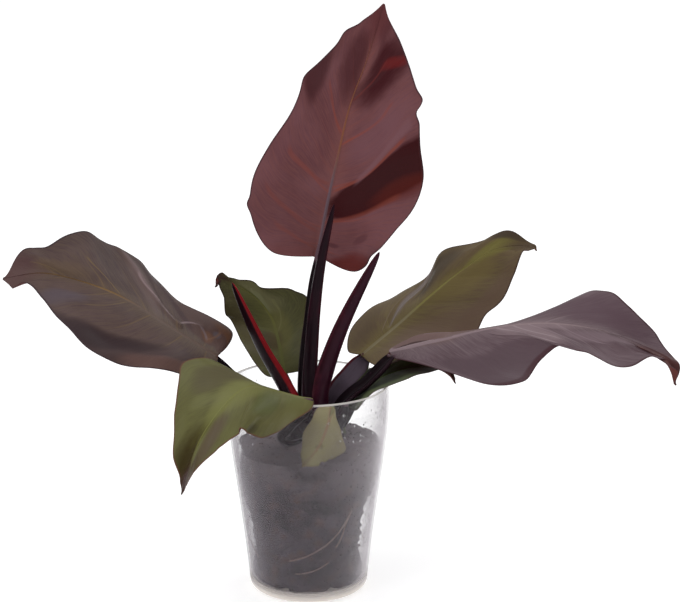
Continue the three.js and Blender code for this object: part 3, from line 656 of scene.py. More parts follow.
# Each look has the colours of both faces, how well its veins show, its spots and its strokes.
# A spot is a soft patch (place, size, colour, share), with its own form where one is given, and
# a stroke a soft line (three places, width, colour, share) across the blade, or a long one along
# it. The midrib turns from its low colour to its own over the stretch midribTurn.
plainUnder = {
    "body": (96, 62, 62), "second": (80, 50, 52), "glow": (108, 74, 60), "vein": (132, 80, 66),
    "midrib": (116, 80, 74), "midribLow": (104, 74, 72), "edge": (70, 34, 36), "tip": (88, 44, 40),
}
# Some spots and strokes below are painted light and shade: sheen and glints, highlights along folds and
# creases, light shining through the blade, and shade in folds. Each is marked where it stands.
looks = {
    "red": {
        "upper": {
            "body": (62, 48, 40), "second": (46, 32, 32), "glow": (86, 72, 42), "vein": (92, 74, 50),
            "midrib": (122, 94, 52), "midribLow": (104, 80, 58), "edge": (62, 24, 24),
            "tip": (66, 30, 28),
        },
        "under": {
            "body": (107, 68, 73), "second": (92, 54, 58), "glow": (110, 66, 64), "vein": (132, 62, 50),
            "midrib": (124, 76, 56), "midribLow": (98, 78, 86), "edge": (60, 34, 40),
            "tip": (88, 44, 46),
        },
        "veinShare": 0.4,
        "spots": [
            ((0.56, 0.45), (0.06, 0.35), (106, 70, 77), 0.5),
            # dark wine patch: painted shade where the blade folds away from the light
            (
                (0.39, 0.62), (0.078, 0.6), (50, 4, 8), 1.15,
                {"lean": 0.06, "power": 3.0, "soft": 0.45, "ragged": 0.9},
            ),
            # red patch: painted light shining through the thin blade
            ((0.34, 0.8), (0.035, 0.3), (80, 20, 10), 0.6),
            # dark wine patch: painted shade on a fold of the blade
            ((0.76, 0.62), (0.085, 0.5), (56, 12, 18), 1),
            # red patch: painted light shining through the thin blade
            ((0.75, 0.8), (0.022, 0.25), (100, 20, 20), 0.7, {"lean": -0.1}),
            ((0.9, 0.75), (0.05, 0.3), (62, 24, 30), 0.7),
            ((0.77, -0.4), (0.1, 0.4), (66, 28, 32), 0.8),
            ((0.57, -0.9), (0.07, 0.2), (62, 26, 30), 0.8),
            ((0.1, 0.85), (0.05, 0.35), (88, 22, 16), 0.8),
            ((0.17, 0.25), (0.012, 0.12), (70, 36, 42), 0.6),
            ((0.2, 0.62), (0.02, 0.07), (74, 38, 44), 0.5),
            ((0.05, -0.6), (0.06, 0.6), (108, 60, 60), 0.5),
        ],
        "strokes": [
            ([(0.42, 0.02), (0.455, 0.45), (0.5, 0.85)], 0.01, (122, 58, 48), 0.8),
            ([(0.43, 0.25), (0.485, 0.55), (0.53, 0.95)], 0.02, (112, 76, 82), 0.7),
            ([(0.28, 0.02), (0.3, 0.35), (0.315, 0.8)], 0.014, (112, 50, 38), 0.6),
            ([(0.6, 0.02), (0.605, 0.3), (0.615, 0.7)], 0.008, (128, 62, 52), 0.5),
            ([(0.6, -0.02), (0.61, -0.3), (0.63, -0.7)], 0.008, (120, 58, 50), 0.5),
            ([(0.42, -0.02), (0.39, -0.35), (0.385, -0.8)], 0.012, (118, 60, 54), 0.6),
            ([(0.2, -0.05), (0.225, -0.48), (0.25, -0.85)], 0.013, (114, 58, 52), 0.5),
            ([(0.09, -0.05), (0.145, -0.4), (0.18, -0.7)], 0.013, (114, 58, 52), 0.45),
            ([(0.74, 0.02), (0.76, 0.3), (0.78, 0.7)], 0.008, (98, 34, 32), 0.5),
        ],
    },
    "dusk": {
        "upper": {
            "body": (84, 67, 65), "second": (66, 50, 51), "glow": (90, 74, 62), "vein": (104, 84, 60),
            "midrib": (112, 86, 54), "midribLow": (92, 74, 66), "edge": (46, 30, 36),
            "tip": (80, 56, 54),
        },
        "under": plainUnder, "veinShare": 0.5, "midribTurn": (0.5, 0.66),
        "spots": [
            ((0.41, 0.82), (0.13, 0.4), (62, 45, 46), 0.75, {"lean": 0.3}),
            ((0.46, 0.78), (0.075, 0.36), (42, 26, 30), 0.8, {"lean": 0.3}),
            # pale mauve patch: painted glint
            ((0.66, 0.75), (0.05, 0.3), (80, 70, 78), 0.7),
            ((0.26, 0.85), (0.09, 0.16), (100, 74, 68), 0.7),
            ((0.78, -0.35), (0.09, 0.25), (96, 78, 60), 0.5),
            ((0.9, -0.7), (0.06, 0.4), (66, 40, 44), 0.75),
            ((0.14, -0.6), (0.15, 0.46), (78, 56, 52), 0.9, {"power": 4.0, "soft": 0.3}),
            ((0.16, -0.3), (0.03, 0.14), (98, 66, 48), 0.7),
            ((0.1, -0.8), (0.05, 0.14), (96, 64, 46), 0.7),
            ((0.12, -0.5), (0.02, 0.1), (84, 78, 86), 0.6),
            ((0.27, -0.5), (0.03, 0.3), (62, 42, 44), 0.8, {"lean": -0.1}),
            ((0.36, -0.85), (0.06, 0.2), (72, 54, 54), 0.7),
            ((0.44, -0.45), (0.03, 0.4), (98, 80, 78), 0.6),
        ],
        "strokes": [
            # the next five pale lines along the creases: painted highlights where the creases catch the
            # light
            ([(0.435, -0.97), (0.437, -0.6), (0.405, -0.25)], 0.016, (112, 94, 94), 0.7),
            ([(0.44, -0.7), (0.425, -0.4), (0.37, -0.2)], 0.006, (134, 114, 116), 0.7),
            ([(0.41, -0.28), (0.37, -0.2), (0.322, -0.14)], 0.009, (134, 116, 118), 0.8),
            ([(0.325, -0.14), (0.255, -0.32), (0.188, -0.5)], 0.01, (130, 112, 114), 0.8),
            ([(0.19, -0.5), (0.172, -0.35), (0.163, -0.2)], 0.012, (112, 98, 104), 0.6),
            # dark line beside the first crease: painted shade
            ([(0.39, -0.9), (0.4, -0.6), (0.37, -0.3)], 0.012, (60, 44, 46), 0.6),
            ([(0.6, -0.02), (0.64, -0.3), (0.66, -0.6)], 0.006, (108, 88, 60), 0.7),
            ([(0.6, 0.02), (0.6, 0.3), (0.6, 0.6)], 0.005, (104, 86, 62), 0.5),
            ([(0.8, -0.02), (0.82, -0.3), (0.86, -0.6)], 0.006, (108, 88, 60), 0.6),
            ([(0.17, -0.2), (0.12, -0.45), (0.13, -0.7)], 0.01, (112, 80, 62), 0.6),
        ],
    },
    "bronze": {
        "upper": {
            "body": (99, 82, 58), "second": (87, 70, 53), "glow": (104, 92, 56), "vein": (112, 100, 58),
            "midrib": (126, 118, 66), "midribLow": (120, 110, 84), "edge": (60, 40, 36),
            "tip": (78, 62, 44),
        },
        "under": plainUnder, "veinShare": 0.4, "midribTurn": (0.38, 0.52),
        "spots": [
            ((0.66, -0.2), (0.14, 0.36), (112, 98, 56), 0.6),
            ((0.83, 0.2), (0.08, 0.55), (112, 106, 50), 0.75),
            ((0.82, 0.88), (0.09, 0.16), (60, 48, 40), 0.8),
            # dark patch above the midrib: painted shade
            ((0.56, 0.6), (0.07, 0.36), (68, 56, 42), 0.85),
            # grey-lavender patch: painted sheen on the fold
            ((0.44, 0.62), (0.028, 0.4), (116, 104, 102), 0.75, {"lean": 0.1}),
            ((0.2, 0.6), (0.1, 0.4), (78, 62, 46), 0.6), ((0.3, -0.6), (0.15, 0.4), (97, 78, 65), 0.8),
            ((0.45, -0.88), (0.25, 0.18), (94, 74, 62), 0.7),
        ],
        "strokes": [
            # the next two grey lines: painted sheen along the fold
            ([(0.5, 0.95), (0.45, 0.5), (0.34, 0.1)], 0.03, (110, 99, 94), 0.8),
            ([(0.47, 0.8), (0.435, 0.4), (0.33, 0.08)], 0.007, (132, 122, 118), 0.7),
            ([(0.42, 0.85), (0.37, 0.45), (0.28, 0.12)], 0.008, (118, 102, 88), 0.5),
            # dark line: painted shade beside the fold
            ([(0.55, 0.9), (0.52, 0.6), (0.47, 0.3)], 0.02, (66, 54, 40), 0.6),
        ],
    },
    "plum": {
        "upper": {
            "body": (98, 81, 87), "second": (84, 66, 72), "glow": (112, 96, 100),
            "vein": (126, 110, 113), "midrib": (132, 114, 116), "midribLow": (132, 114, 118),
            "edge": (58, 28, 34), "tip": (74, 42, 40),
        },
        "under": plainUnder, "veinShare": 0.55,
        "spots": [
            # darker patch on the folded-down near half: painted shade
            ((0.34, -0.72), (0.14, 0.34), (84, 67, 73), 0.8, {"power": 3.0, "soft": 0.5}),
            # the next two pale mauve patches: painted sheen
            ((0.54, -0.3), (0.07, 0.32), (132, 114, 118), 0.75),
            ((0.63, -0.05), (0.08, 0.1), (126, 108, 112), 0.7),
            ((0.68, 0.65), (0.13, 0.36), (82, 62, 70), 0.8),
            ((0.78, -0.66), (0.07, 0.24), (80, 60, 66), 0.85),
            # pale mauve patch: painted sheen
            ((0.74, -0.28), (0.1, 0.14), (124, 106, 112), 0.6),
            ((0.24, 0.25), (0.2, 0.3), (104, 82, 78), 0.85),
            ((0.4, -0.97), (0.2, 0.05), (64, 34, 40), 0.8),
            ((0.94, 0.0), (0.05, 1.2), (78, 46, 44), 0.7),
        ],
        "strokes": [
            # the next four pale lines along the ribs: painted sheen
            ([(0.56, 0.1), (0.55, -0.2), (0.58, -0.6)], 0.006, (146, 130, 134), 0.7),
            ([(0.5, 0.1), (0.51, -0.2), (0.53, -0.7)], 0.007, (146, 130, 134), 0.7),
            ([(0.6, 0.1), (0.6, -0.2), (0.64, -0.5)], 0.005, (138, 120, 126), 0.7),
            ([(0.67, 0.05), (0.68, -0.2), (0.72, -0.5)], 0.005, (134, 116, 122), 0.6),
            ([(0.46, -0.1), (0.47, -0.3), (0.5, -0.7)], 0.004, (72, 56, 62), 0.7),
        ],
        "longStrokes": [
            # pale strip along the midrib: painted highlight on the raised strip
            ([(0.04, 0.05), (0.17, 0.05), (0.3, 0.015)], 0.035, (142, 122, 124), 0.9),
            ([(0.06, 0.1), (0.17, 0.12), (0.3, 0.07)], 0.018, (50, 34, 36), 0.9),
            ([(0.16, 0.04), (0.26, 0.035), (0.38, 0.005)], 0.012, (62, 46, 50), 0.8),
            # pale strip: painted highlight
            ([(0.1, -0.03), (0.25, -0.03), (0.42, -0.01)], 0.025, (140, 120, 122), 0.7),
        ],
    },
    "olive": {
        "upper": {
            "body": (91, 89, 54), "second": (82, 78, 48), "glow": (98, 98, 56), "vein": (104, 102, 60),
            "midrib": (112, 112, 62), "midribLow": (106, 106, 60), "edge": (92, 56, 44),
            "tip": (52, 28, 22),
        },
        "under": plainUnder, "veinShare": 0.4,
        "spots": [
            ((0.55, 0.02), (0.12, 0.3), (112, 112, 66), 0.7),
            ((0.2, 0.2), (0.1, 0.5), (104, 106, 66), 0.6),
            ((0.66, -0.05), (0.07, 0.2), (106, 106, 58), 0.6),
            ((0.8, -0.25), (0.08, 0.4), (88, 86, 34), 0.7),
            ((0.47, -0.5), (0.05, 0.3), (78, 70, 50), 0.7),
            ((0.57, -0.5), (0.035, 0.2), (104, 104, 64), 0.5),
            ((0.7, 0.6), (0.09, 0.4), (82, 68, 54), 0.8), ((0.86, 0.9), (0.12, 0.4), (64, 50, 34), 0.9),
            ((0.83, -0.6), (0.13, 0.6), (52, 43, 14), 1), ((0.95, 0), (0.06, 1.5), (52, 32, 22), 0.9),
            ((0.4, 0.35), (0.06, 0.3), (84, 90, 54), 0.6),
            ((0.36, 0.92), (0.02, 0.12), (52, 46, 32), 0.6),
            ((0.2, 0.6), (0.12, 0.4), (100, 96, 58), 0.6),
        ],
    },
    "green": {
        "upper": {
            "body": (54, 60, 34), "second": (42, 46, 28), "glow": (62, 72, 38), "vein": (60, 72, 36),
            "midrib": (76, 88, 44), "midribLow": (76, 88, 48), "edge": (56, 32, 26),
            "tip": (54, 26, 20),
        },
        "under": plainUnder, "veinShare": 0.3,
        "spots": [
            ((0.78, 0.0), (0.2, 1.4), (48, 28, 22), 0.85),
            ((0.3, -0.85), (0.25, 0.2), (92, 100, 72), 0.8),
        ],
    },
    "moss": {
        "upper": {
            "body": (74, 72, 44), "second": (62, 60, 36), "glow": (84, 82, 46), "vein": (88, 86, 46),
            "midrib": (92, 90, 46), "midribLow": (84, 84, 44), "edge": (52, 38, 30),
            "tip": (52, 32, 28),
        },
        "under": plainUnder, "veinShare": 0.3,
        "spots": [
            ((0.5, 0.75), (0.3, 0.25), (74, 66, 46), 0.7),
            ((0.42, -0.15), (0.16, 0.26), (88, 84, 44), 0.6),
            ((0.62, -0.6), (0.12, 0.4), (98, 94, 66), 0.7),
            ((0.63, -0.3), (0.06, 0.3), (104, 104, 74), 0.7),
            ((0.4, 0.2), (0.07, 0.3), (60, 42, 32), 0.6),
        ],
        "strokes": [
            ([(0.45, -0.02), (0.5, -0.3), (0.52, -0.7)], 0.01, (100, 98, 62), 0.5),
            ([(0.65, -0.02), (0.68, -0.3), (0.66, -0.7)], 0.01, (108, 108, 78), 0.5),
        ],
    },
    "pale": {
        "upper": {
            "body": (126, 118, 84), "second": (116, 106, 78), "glow": (132, 126, 86),
            "vein": (138, 122, 92), "midrib": (132, 108, 80), "midribLow": (132, 108, 80),
            "edge": (112, 104, 76), "tip": (112, 98, 72),
        },
        "under": plainUnder, "veinShare": 0.3,
        "spots": [
            ((0.7, 0.0), (0.03, 0.25), (76, 66, 50), 0.5), ((0.5, 0.6), (0.02, 0.1), (80, 70, 52), 0.5),
        ],
    },
}

spotForm = {"lean": 0.0, "power": 2.0, "soft": 0.85, "ragged": 1.3}
leafFinish = {
    "specular": 0.12,
    "roughness": 0.34,
    "roughnessSpread": 0.14,
    "undersideRoughness": 0.08,
    "bump": 0.25,
    "bumpDepth": 0.0006,
    "patchScale": 26.0,
    "streakScale": 190.0,
    "poreScale": 1400.0,
    "shineScale": 60.0,
    "tipFrom": (0.82, 0.95),  # where the tip's colour starts and is full
    "edgeWidth": 1.6,  # of the coloured line at the margin, in mm
    "glowWidth": 15.0,  # of the paler stretch along the midrib, in mm
}


def leafMaterial(name, look):
    material, m = newMaterial(name)
    vein, signed, fromMidrib = m.split(m.attribute("place", "Vector"))
    t = m.attribute("along")
    margin = m.attribute("margin")
    underside = m.attribute("underside")
    colour = {
        key: m.mix(underside, paint(*look["upper"][key]), paint(*look["under"][key]))
        for key in look["upper"]
    }
    share = abs(signed)

    # broad patches, then fine streaks that run along the veins
    patches = m.noise(m.objectPlace(), leafFinish["patchScale"], 3.0, 0.55)
    broad = m.noise(m.join(vein * 5.0, signed * 1.6, 0.0), 1.0, 2.0)
    streaks = m.noise(m.join(vein * leafFinish["streakScale"], signed * 4.0, 0.0), 1.0, 3.0, 0.6)
    base = m.mix(m.between(patches * 0.6 + broad * 0.4, 0.36, 0.62), colour["body"], colour["second"])
    nearMidrib = 1 - m.between(fromMidrib, 2.0, leafFinish["glowWidth"])
    base = m.mix(nearMidrib * 0.7 * (0.4 + patches), base, colour["glow"])
    base = m.mix(m.between(streaks, 0.35, 0.7) * 0.55, base, colour["glow"])
    base = m.mix(m.between(streaks, 0.5, 0.3) * 0.4, base, colour["second"])

    # main veins, each of its own strength, with a soft glow, and a fainter set between them
    count = m.attribute("lane")
    phase = abs(count.math("FRACT") - 0.5) * 2.0
    index = (count + 0.5).math("FLOOR") + signed.math("SIGN") * 7.3
    strength = 0.35 + 0.65 * (index * 12.9898).math("SINE").math("ABSOLUTE")
    thin = 1 - m.between(share, 0.15, 0.8)
    core = m.between(phase, 0.955, 1.0) * thin
    glow = m.between(phase, 0.8, 1.0) * (1 - m.between(share, 0.0, 0.5))
    fine = abs((count * 3.0).math("FRACT") - 0.5) * 2.0
    fineVein = m.between(fine, 0.72, 1.0) * 0.2
    lines = (core * strength + glow * strength * 0.35 + fineVein * thin) * look["veinShare"]
    base = m.mix(lines, base, colour["vein"])

    # patches of another colour, each set by its place along and across the blade
    ragged = m.noise(m.join(vein * 14.0, signed * 2.0, 0.0), 1.0, 3.0, 0.6) - 0.5
    for place, size, tint, most, *given in look["spots"]:
        form = {**spotForm, **(given[0] if given else {})}
        across = signed - place[1]
        x = (vein - place[0] - across * form["lean"]) / size[0]
        y = across / size[1]
        distance = abs(x) ** form["power"] + abs(y) ** form["power"] + ragged * form["ragged"]
        cover = m.between(distance, 1.0 + form["soft"], 1.0 - form["soft"], 0.0, most)
        cover = cover * (0.8 + 0.4 * streaks)
        base = m.mix(cover, base, paint(*tint))

    for lengthwise, strokes in enumerate((look.get("strokes", []), look.get("longStrokes", []))):
        run, side = (vein, signed) if lengthwise else (signed, vein)
        for line, width, tint, most in strokes:
            runs = [point[1 - lengthwise] for point in line]
            bend = np.polyfit(runs, [point[lengthwise] for point in line], 2).tolist()
            off = abs(side - (run * bend[0] + bend[1]) * run - bend[2]) / width
            started = m.between(run, min(runs) - 0.02, min(runs) + 0.08)
            inside = started * (1 - m.between(run, max(runs) - 0.08, max(runs) + 0.02))
            cover = m.between(off, 1.0, 0.2) * inside * (most * (0.6 + 0.7 * patches))
            base = m.mix(cover, base, paint(*tint))

    halfRidge = 1.5 - 0.9 * t  # of the midrib, in mm
    ridge = 1 - m.between(fromMidrib / halfRidge, 0.6, 1.5)
    turned = m.between(t, *look.get("midribTurn", (0.4, 0.6)))
    midrib = m.mix(turned, colour["midribLow"], colour["midrib"])
    base = m.mix(ridge * (1 - m.between(t, 0.88, 1.0)), base, midrib)
    base = m.mix(m.between(margin, leafFinish["edgeWidth"], 0.2) * 0.9, base, colour["edge"])
    base = m.mix(m.between(t, *leafFinish["tipFrom"]), base, colour["tip"])

    shine = m.noise(m.objectPlace(), leafFinish["shineScale"], 2.0)
    roughness = leafFinish["roughness"] + leafFinish["roughnessSpread"] * shine
    roughness = roughness + leafFinish["undersideRoughness"] * underside
    pores = m.noise(m.objectPlace(), leafFinish["poreScale"], 2.0)
    height = streaks * 0.5 + pores * 0.25 - fineVein
    return finishMaterial(
        material,
        m,
        {
            "Base Color": base,
            "Roughness": roughness,
            "Specular IOR Level": leafFinish["specular"],
            "Normal": m.bump(height, leafFinish["bump"], leafFinish["bumpDepth"]),
        },
    )


print("making leaves")
leafPaths = {}
leafMaterials = {key: leafMaterial("leaf_" + key, look) for key, look in looks.items()}
for name, leaf in leaves.items():
    small = name in bladeForm["smallLeaves"]
    rowsCount = bladeForm["smallRows" if small else "rows"]
    columns = bladeForm["smallColumns" if small else "columns"]
    leafPaths[name] = makeBlade(name, leaf, leafMaterials[leaf["look"]], rowsCount, columns)
print("leaves:", len(leafPaths))


# Petioles and rolled leaves: lofts with a half round back and a shallow channel
channelled = [
    (1, 0.05), (0.86, -0.5), (0.5, -0.86), (0, -1), (-0.5, -0.86), (-0.86, -0.5), (-1, 0.05),
    (-0.84, 0.36), (-0.42, 0.16), (0, 0.08), (0.42, 0.16), (0.84, 0.36),
]
stalkForm = {
    "seat": 10,  # length of petiole that runs on below the midrib
    "rows": 70,
    "around": 48,
    "spearPower": 0.42,
    "scalePower": 0.45,
    "scaleDepth": 0.45,  # of a scale's width
    "edge": (0.84, 0.97),  # where a margin's colour and, on some looks, its painted light start and are full
    "edges": {"stalk_redSpear": (0.8, 0.9), "stalk_winged": (0.55, 0.75)},
    "specular": 0.07,
    "roughness": 0.24,
    "roughnessSpread": 0.16,
    "patchScale": 55.0,
    "fibreScale": 1.6,
    "bump": 0.2,
    "bumpDepth": 0.0005,
}


def roundSection(count):
    wrapped = channelled[-2:] + channelled + channelled[:3]
    place = np.arange(count) / count * len(channelled)
    return through(wrapped, (place + 2) / (len(wrapped) - 1))


# wings are how much wider the left and the right margins are, seen from the front
def makeStalk(name, path, facing, width, depth, material, slot, nodes=(), wings=(0, 0)):
    line = walk(path, facing, stalkForm["rows"])
    shares = np.linspace(0, 1, stalkForm["rows"] + 1)
    section = roundSection(stalkForm["around"])
    sideways = width(shares)[:, None] * section[:, 0]
    sideways = sideways * np.where(section[:, 0] > 0, 1 + wings[1], 1 + wings[0])
    upwards = depth(shares)[:, None] * section[:, 1]
    rings = (
        line["origin"][:, None]
        + line["side"][:, None] * sideways[..., None]
        + line["normal"][:, None] * upwards[..., None]
    )
    around = np.arange(stalkForm["around"]) / stalkForm["around"]
    place = np.stack(
        [
            shares[:, None] + 0 * around[None],
            section[:, 0][None] + 0 * shares[:, None],
            section[:, 1][None] + 0 * shares[:, None],
        ],
        axis=-1,
    )
    angle = around[None] + 0 * shares[:, None]
    piece = loft(name, rings * mm, {"place": place, "angle": angle}, smoothBelow=75)
    dress(piece, material, slot, *nodes)
    return piece


stalkLooks = {
    "dark": {
        "body": (12, 4, 8), "second": (24, 7, 13), "channel": (16, 6, 12), "leftEdgeAndPaintedLight": (40, 24, 32),
        "rightEdgeAndPaintedLight": (34, 11, 16), "low": (18, 10, 14), "top": (92, 70, 78),
    },
    # the purple-grey of the body and channel is painted reflection of the light on the petiole's top, and
    # the dark maroon right edge is painted shade on the side turned from the light
    "winged": {
        "body": (84, 72, 84), "second": (62, 46, 58), "channel": (92, 80, 92),
        "leftEdgeAndPaintedLight": (112, 124, 82), "rightEdgeAndPaintedLight": (74, 12, 22), "low": (88, 98, 66),
    },
    "pale": {
        "body": (112, 106, 74), "second": (96, 76, 62), "channel": (122, 118, 82),
        "leftEdgeAndPaintedLight": (112, 76, 62), "rightEdgeAndPaintedLight": (112, 76, 62), "low": (112, 114, 78),
    },
    # the pale left edge: a painted highlight
    "spear": {
        "body": (26, 8, 17), "second": (48, 16, 28), "channel": (24, 9, 17), "leftEdgeAndPaintedLight": (110, 94, 108),
        "rightEdgeAndPaintedLight": (54, 14, 24), "low": (18, 8, 14),
    },
    # the pale right edge: a painted highlight
    "maroonSpear": {
        "body": (38, 10, 20), "second": (60, 16, 28), "channel": (24, 9, 17), "leftEdgeAndPaintedLight": (62, 24, 34),
        "rightEdgeAndPaintedLight": (96, 72, 84), "low": (48, 20, 34),
    },
    # the pale left edge: a painted highlight; the red right edge is the margin's own colour
    "redSpear": {
        "body": (20, 5, 12), "second": (34, 8, 16), "channel": (24, 9, 17), "leftEdgeAndPaintedLight": (104, 88, 96),
        "rightEdgeAndPaintedLight": (122, 22, 28), "low": (22, 8, 14),
    },
}


def stalkMaterial(name, look):
    material, m = newMaterial(name)
    t, across, height = m.split(m.attribute("place", "Vector"))
    angle = m.attribute("angle")
    colour = {key: paint(*value) for key, value in look.items()}
    # read round a circle, so that no seam shows where the angle starts again
    ring = angle * math.tau
    wrapped = m.join(ring.math("COSINE") * 3.0, ring.math("SINE") * 3.0, t * 3.0)
    drawn = m.join(ring.math("COSINE") * 9.0, ring.math("SINE") * 9.0, t * 5.0)
    patches = m.noise(m.objectPlace(), stalkForm["patchScale"], 3.0)
    fibres = m.noise(drawn, stalkForm["fibreScale"], 3.0, 0.6)
    base = m.mix(m.between(patches, 0.4, 0.65) * 0.8, colour["body"], colour["second"])
    base = m.mix(m.between(height, -0.1, 0.25) * 0.8, base, colour["channel"])
    base = m.mix(m.between(height, -0.55, -0.95) * 0.7, base, colour["low"])
    # lines along both edges: the margins' own colours, painted highlights on the lit edges of the spears,
    # and painted shade on one edge of the winged petiole
    base = m.mix(m.between(across, -0.86, -0.96) * (0.3 + fibres), base, colour["leftEdgeAndPaintedLight"])
    rightEdgeAndPaintedLight = m.between(across, *stalkForm["edges"].get(name, stalkForm["edge"]))
    rightEdgeAndPaintedLight = rightEdgeAndPaintedLight * m.between(t, 0.12, 0.2)
    base = m.mix(rightEdgeAndPaintedLight * (0.45 + fibres), base, colour["rightEdgeAndPaintedLight"])
    base = m.mix(m.between(fibres, 0.45, 0.8) * 0.35, base, colour["second"])
    if "top" in look:
        base = m.mix(m.between(t, 0.895, 0.93), base, colour["top"])
    bumps = fibres * 0.7 + m.noise(wrapped, 14.0, 2.0) * 0.3
    return finishMaterial(
        material,
        m,
        {
            "Base Color": base,
            "Roughness": stalkForm["roughness"] + stalkForm["roughnessSpread"] * patches,
            "Specular IOR Level": stalkForm["specular"],
            "Normal": m.bump(bumps, stalkForm["bump"], stalkForm["bumpDepth"]),
        },
    )


stalkMaterials = {key: stalkMaterial("stalk_" + key, look) for key, look in stalkLooks.items()}
stalkKinds = {"upright": "winged", "inner": "pale"}


def makePetiole(name, leaf):
    path = leafPaths[name]
    base, top = leaf["stalk"]
    seat = readWalk(path, np.array([0, stalkForm["seat"] / path["length"]]))
    below = seat["origin"] - seat["normal"] * np.array([[top * 0.8], [top * 0.5]])
    # from the flared foot up to the thin end that runs out below the midrib
    widths = [base * 1.25, base, (base + top) / 2, top * 1.05, top, 1]
    depths = [base, base * 0.85, (base + top) * 0.42, top * 0.9, top * 0.85, 0.8]
    makeStalk(
        "stalk_" + name,
        [*leaf["petiole"], *below.tolist()],
        seat["normal"][0],
        lambda shares: along(widths, shares),
        lambda shares: along(depths, shares),
        stalkMaterials[stalkKinds.get(name, "dark")],
        "petiole",
        ["petiole_" + name],
        leaf.get("wings", (0, 0)),
    )


for name, leaf in leaves.items():
    makePetiole(name, leaf)
print("petioles made")

spears = {
    "tall": {
        "path": [
            (3, -1, 121), (1, -3, 154), (2.5, -4, 185), (5.5, -6, 221), (10.5, -8, 256), (19.5, -10, 297),
        ],
        "facing": (0.3, 1, 0),
        "width": 6.4,
        "depth": 5.4,
        "look": "spear",
        "wings": (0, 0),
    },
    "right": {
        "path": [
            (9, 0, 121), (8, -2, 149), (12, -3, 167), (21, -4, 194), (32.5, -6, 221), (52.5, -8, 261),
        ],
        "facing": (-0.6, 1, 0.2),
        "width": 8.8,
        "depth": 6,
        "look": "maroonSpear",
        "wings": (0, 0),
    },
    "left": {
        "path": [(-4, 2, 121), (-15, 3, 151), (-33, 5, 183), (-46, 6, 211), (-56, 6, 234.5)],
        "facing": (0.8, 0.6, 0.4),
        "width": 8.2,
        "depth": 6,
        "look": "redSpear",
        "wings": (0, 0.55),
    },
}


# a width that narrows to a point
def taper(width, power):
    return lambda shares: width * np.maximum(1 - shares, 0.001) ** power


def makeSpear(name, spear):
    makeStalk(
        "spear_" + name,
        spear["path"],
        spear["facing"],
        taper(spear["width"], stalkForm["spearPower"]),
        taper(spear["depth"], stalkForm["spearPower"]),
        stalkMaterials[spear["look"]],
        "sheath",
        ["sheath_" + name],
        spear["wings"],
    )


for name, spear in spears.items():
    makeSpear(name, spear)

# dry dark scales that are left at the foot of the older leaves; their near-black also serves as painted
# shade among the stalk bases
scales = [
    {
        "path": [(12, -6, 112), (20, -8, 125), (26, -9, 136), (29, -9, 147)], "width": 7,
        "facing": (-0.5, 1, 0.2),
    },
    {
        "path": [(14, 4, 112), (24, 4, 124), (31, 3, 135), (36, 2, 144)], "width": 6,
        "facing": (-0.6, 1, 0.2),
    },
    {"path": [(-4, -6, 112), (-10, -9, 124), (-14, -10, 136)], "width": 7, "facing": (0.5, 1, 0.2)},
    {"path": [(2, -10, 112), (3, -14, 124), (4, -15, 134)], "width": 8, "facing": (0, 1, 0.2)},
]
for number, scale in enumerate(scales):
    makeStalk(
        "crown_scale_%d" % (number + 1),
        scale["path"],
        scale["facing"],
        taper(scale["width"], stalkForm["scalePower"]),
        taper(stalkForm["scaleDepth"] * scale["width"], stalkForm["scalePower"]),
        stalkMaterials["dark"],
        "petiole",
    )
print("rolled leaves and scales made")

# Stem
stemForm = {
    "x": 4,
    "y": 1,
    "foot": 62,
    "top": 124,
    "radius": 12,
    "form": [0.4, 0.84, 0.96, 1, 1, 0.96, 0.6],
    "rows": 50,
    "around": 64,
    "ringDepth": 0.5,  # scars of old leaves
    "ringGap": 7,
    "ridges": 5,
    "ridgeDepth": 0.4,
    "bark": [(70, 54, 42), (112, 92, 66)],
}


def barkMaterial():
    material, m = newMaterial("stem_bark")
    place = m.objectPlace()
    x, y, z = m.split(place)
    patches = m.noise(m.join(x * 60.0, y * 60.0, z * 260.0), 1.0, 4.0, 0.6)
    base = m.mix(m.between(patches, 0.35, 0.7), *[paint(*tone) for tone in stemForm["bark"]])
    bump = m.bump(patches, 0.5, 0.001)
    return finishMaterial(material, m, {"Base Color": base, "Roughness": 0.75, "Normal": bump})


def makeStem():
    shares = np.linspace(0, 1, stemForm["rows"])
    angles = np.arange(stemForm["around"]) / stemForm["around"] * math.tau
    z = stemForm["foot"] + (stemForm["top"] - stemForm["foot"]) * shares
    rings = stemForm["ringDepth"] * np.cos(math.tau * z / stemForm["ringGap"])
    radius = (along(stemForm["form"], shares) * stemForm["radius"] - stemForm["ringDepth"] + rings)[:, None]
    radius = radius + stemForm["ridgeDepth"] * np.sin(stemForm["ridges"] * angles + z[:, None] / 9)
    points = np.stack(
        [
            stemForm["x"] + radius * np.cos(angles),
            stemForm["y"] + radius * np.sin(angles),
            z[:, None] + 0 * radius,
        ],
        axis=-1,
    )
    piece = loft("stem_bark", points * mm)
    dress(piece, barkMaterial(), "stem", "stem")


makeStem()

# Pot: a clear tapered glass with a thick base
pot = {
    "height": 160,
    "rimRadius": 60,
    "baseRadius": 44,
    "heelRadius": 7,
    "belly": 3,
    "wall": 1.6,
    "floor": 6,
    "around": 160,
    "rows": 30,
}


def outer(z):
    share = z / pot["height"]
    belly = 9.48 * pot["belly"] * share**3 * (1 - share)  # fullest three quarters of the way up
    return pot["baseRadius"] + (pot["rimRadius"] - pot["baseRadius"]) * share + belly


def inner(z):
    return outer(z) - pot["wall"]


def arc(centre, radius, start, end, steps):
    angles = np.radians(np.linspace(start, end, steps + 1))
    return [(centre[0] + radius * math.cos(a), centre[1] + radius * math.sin(a)) for a in angles]


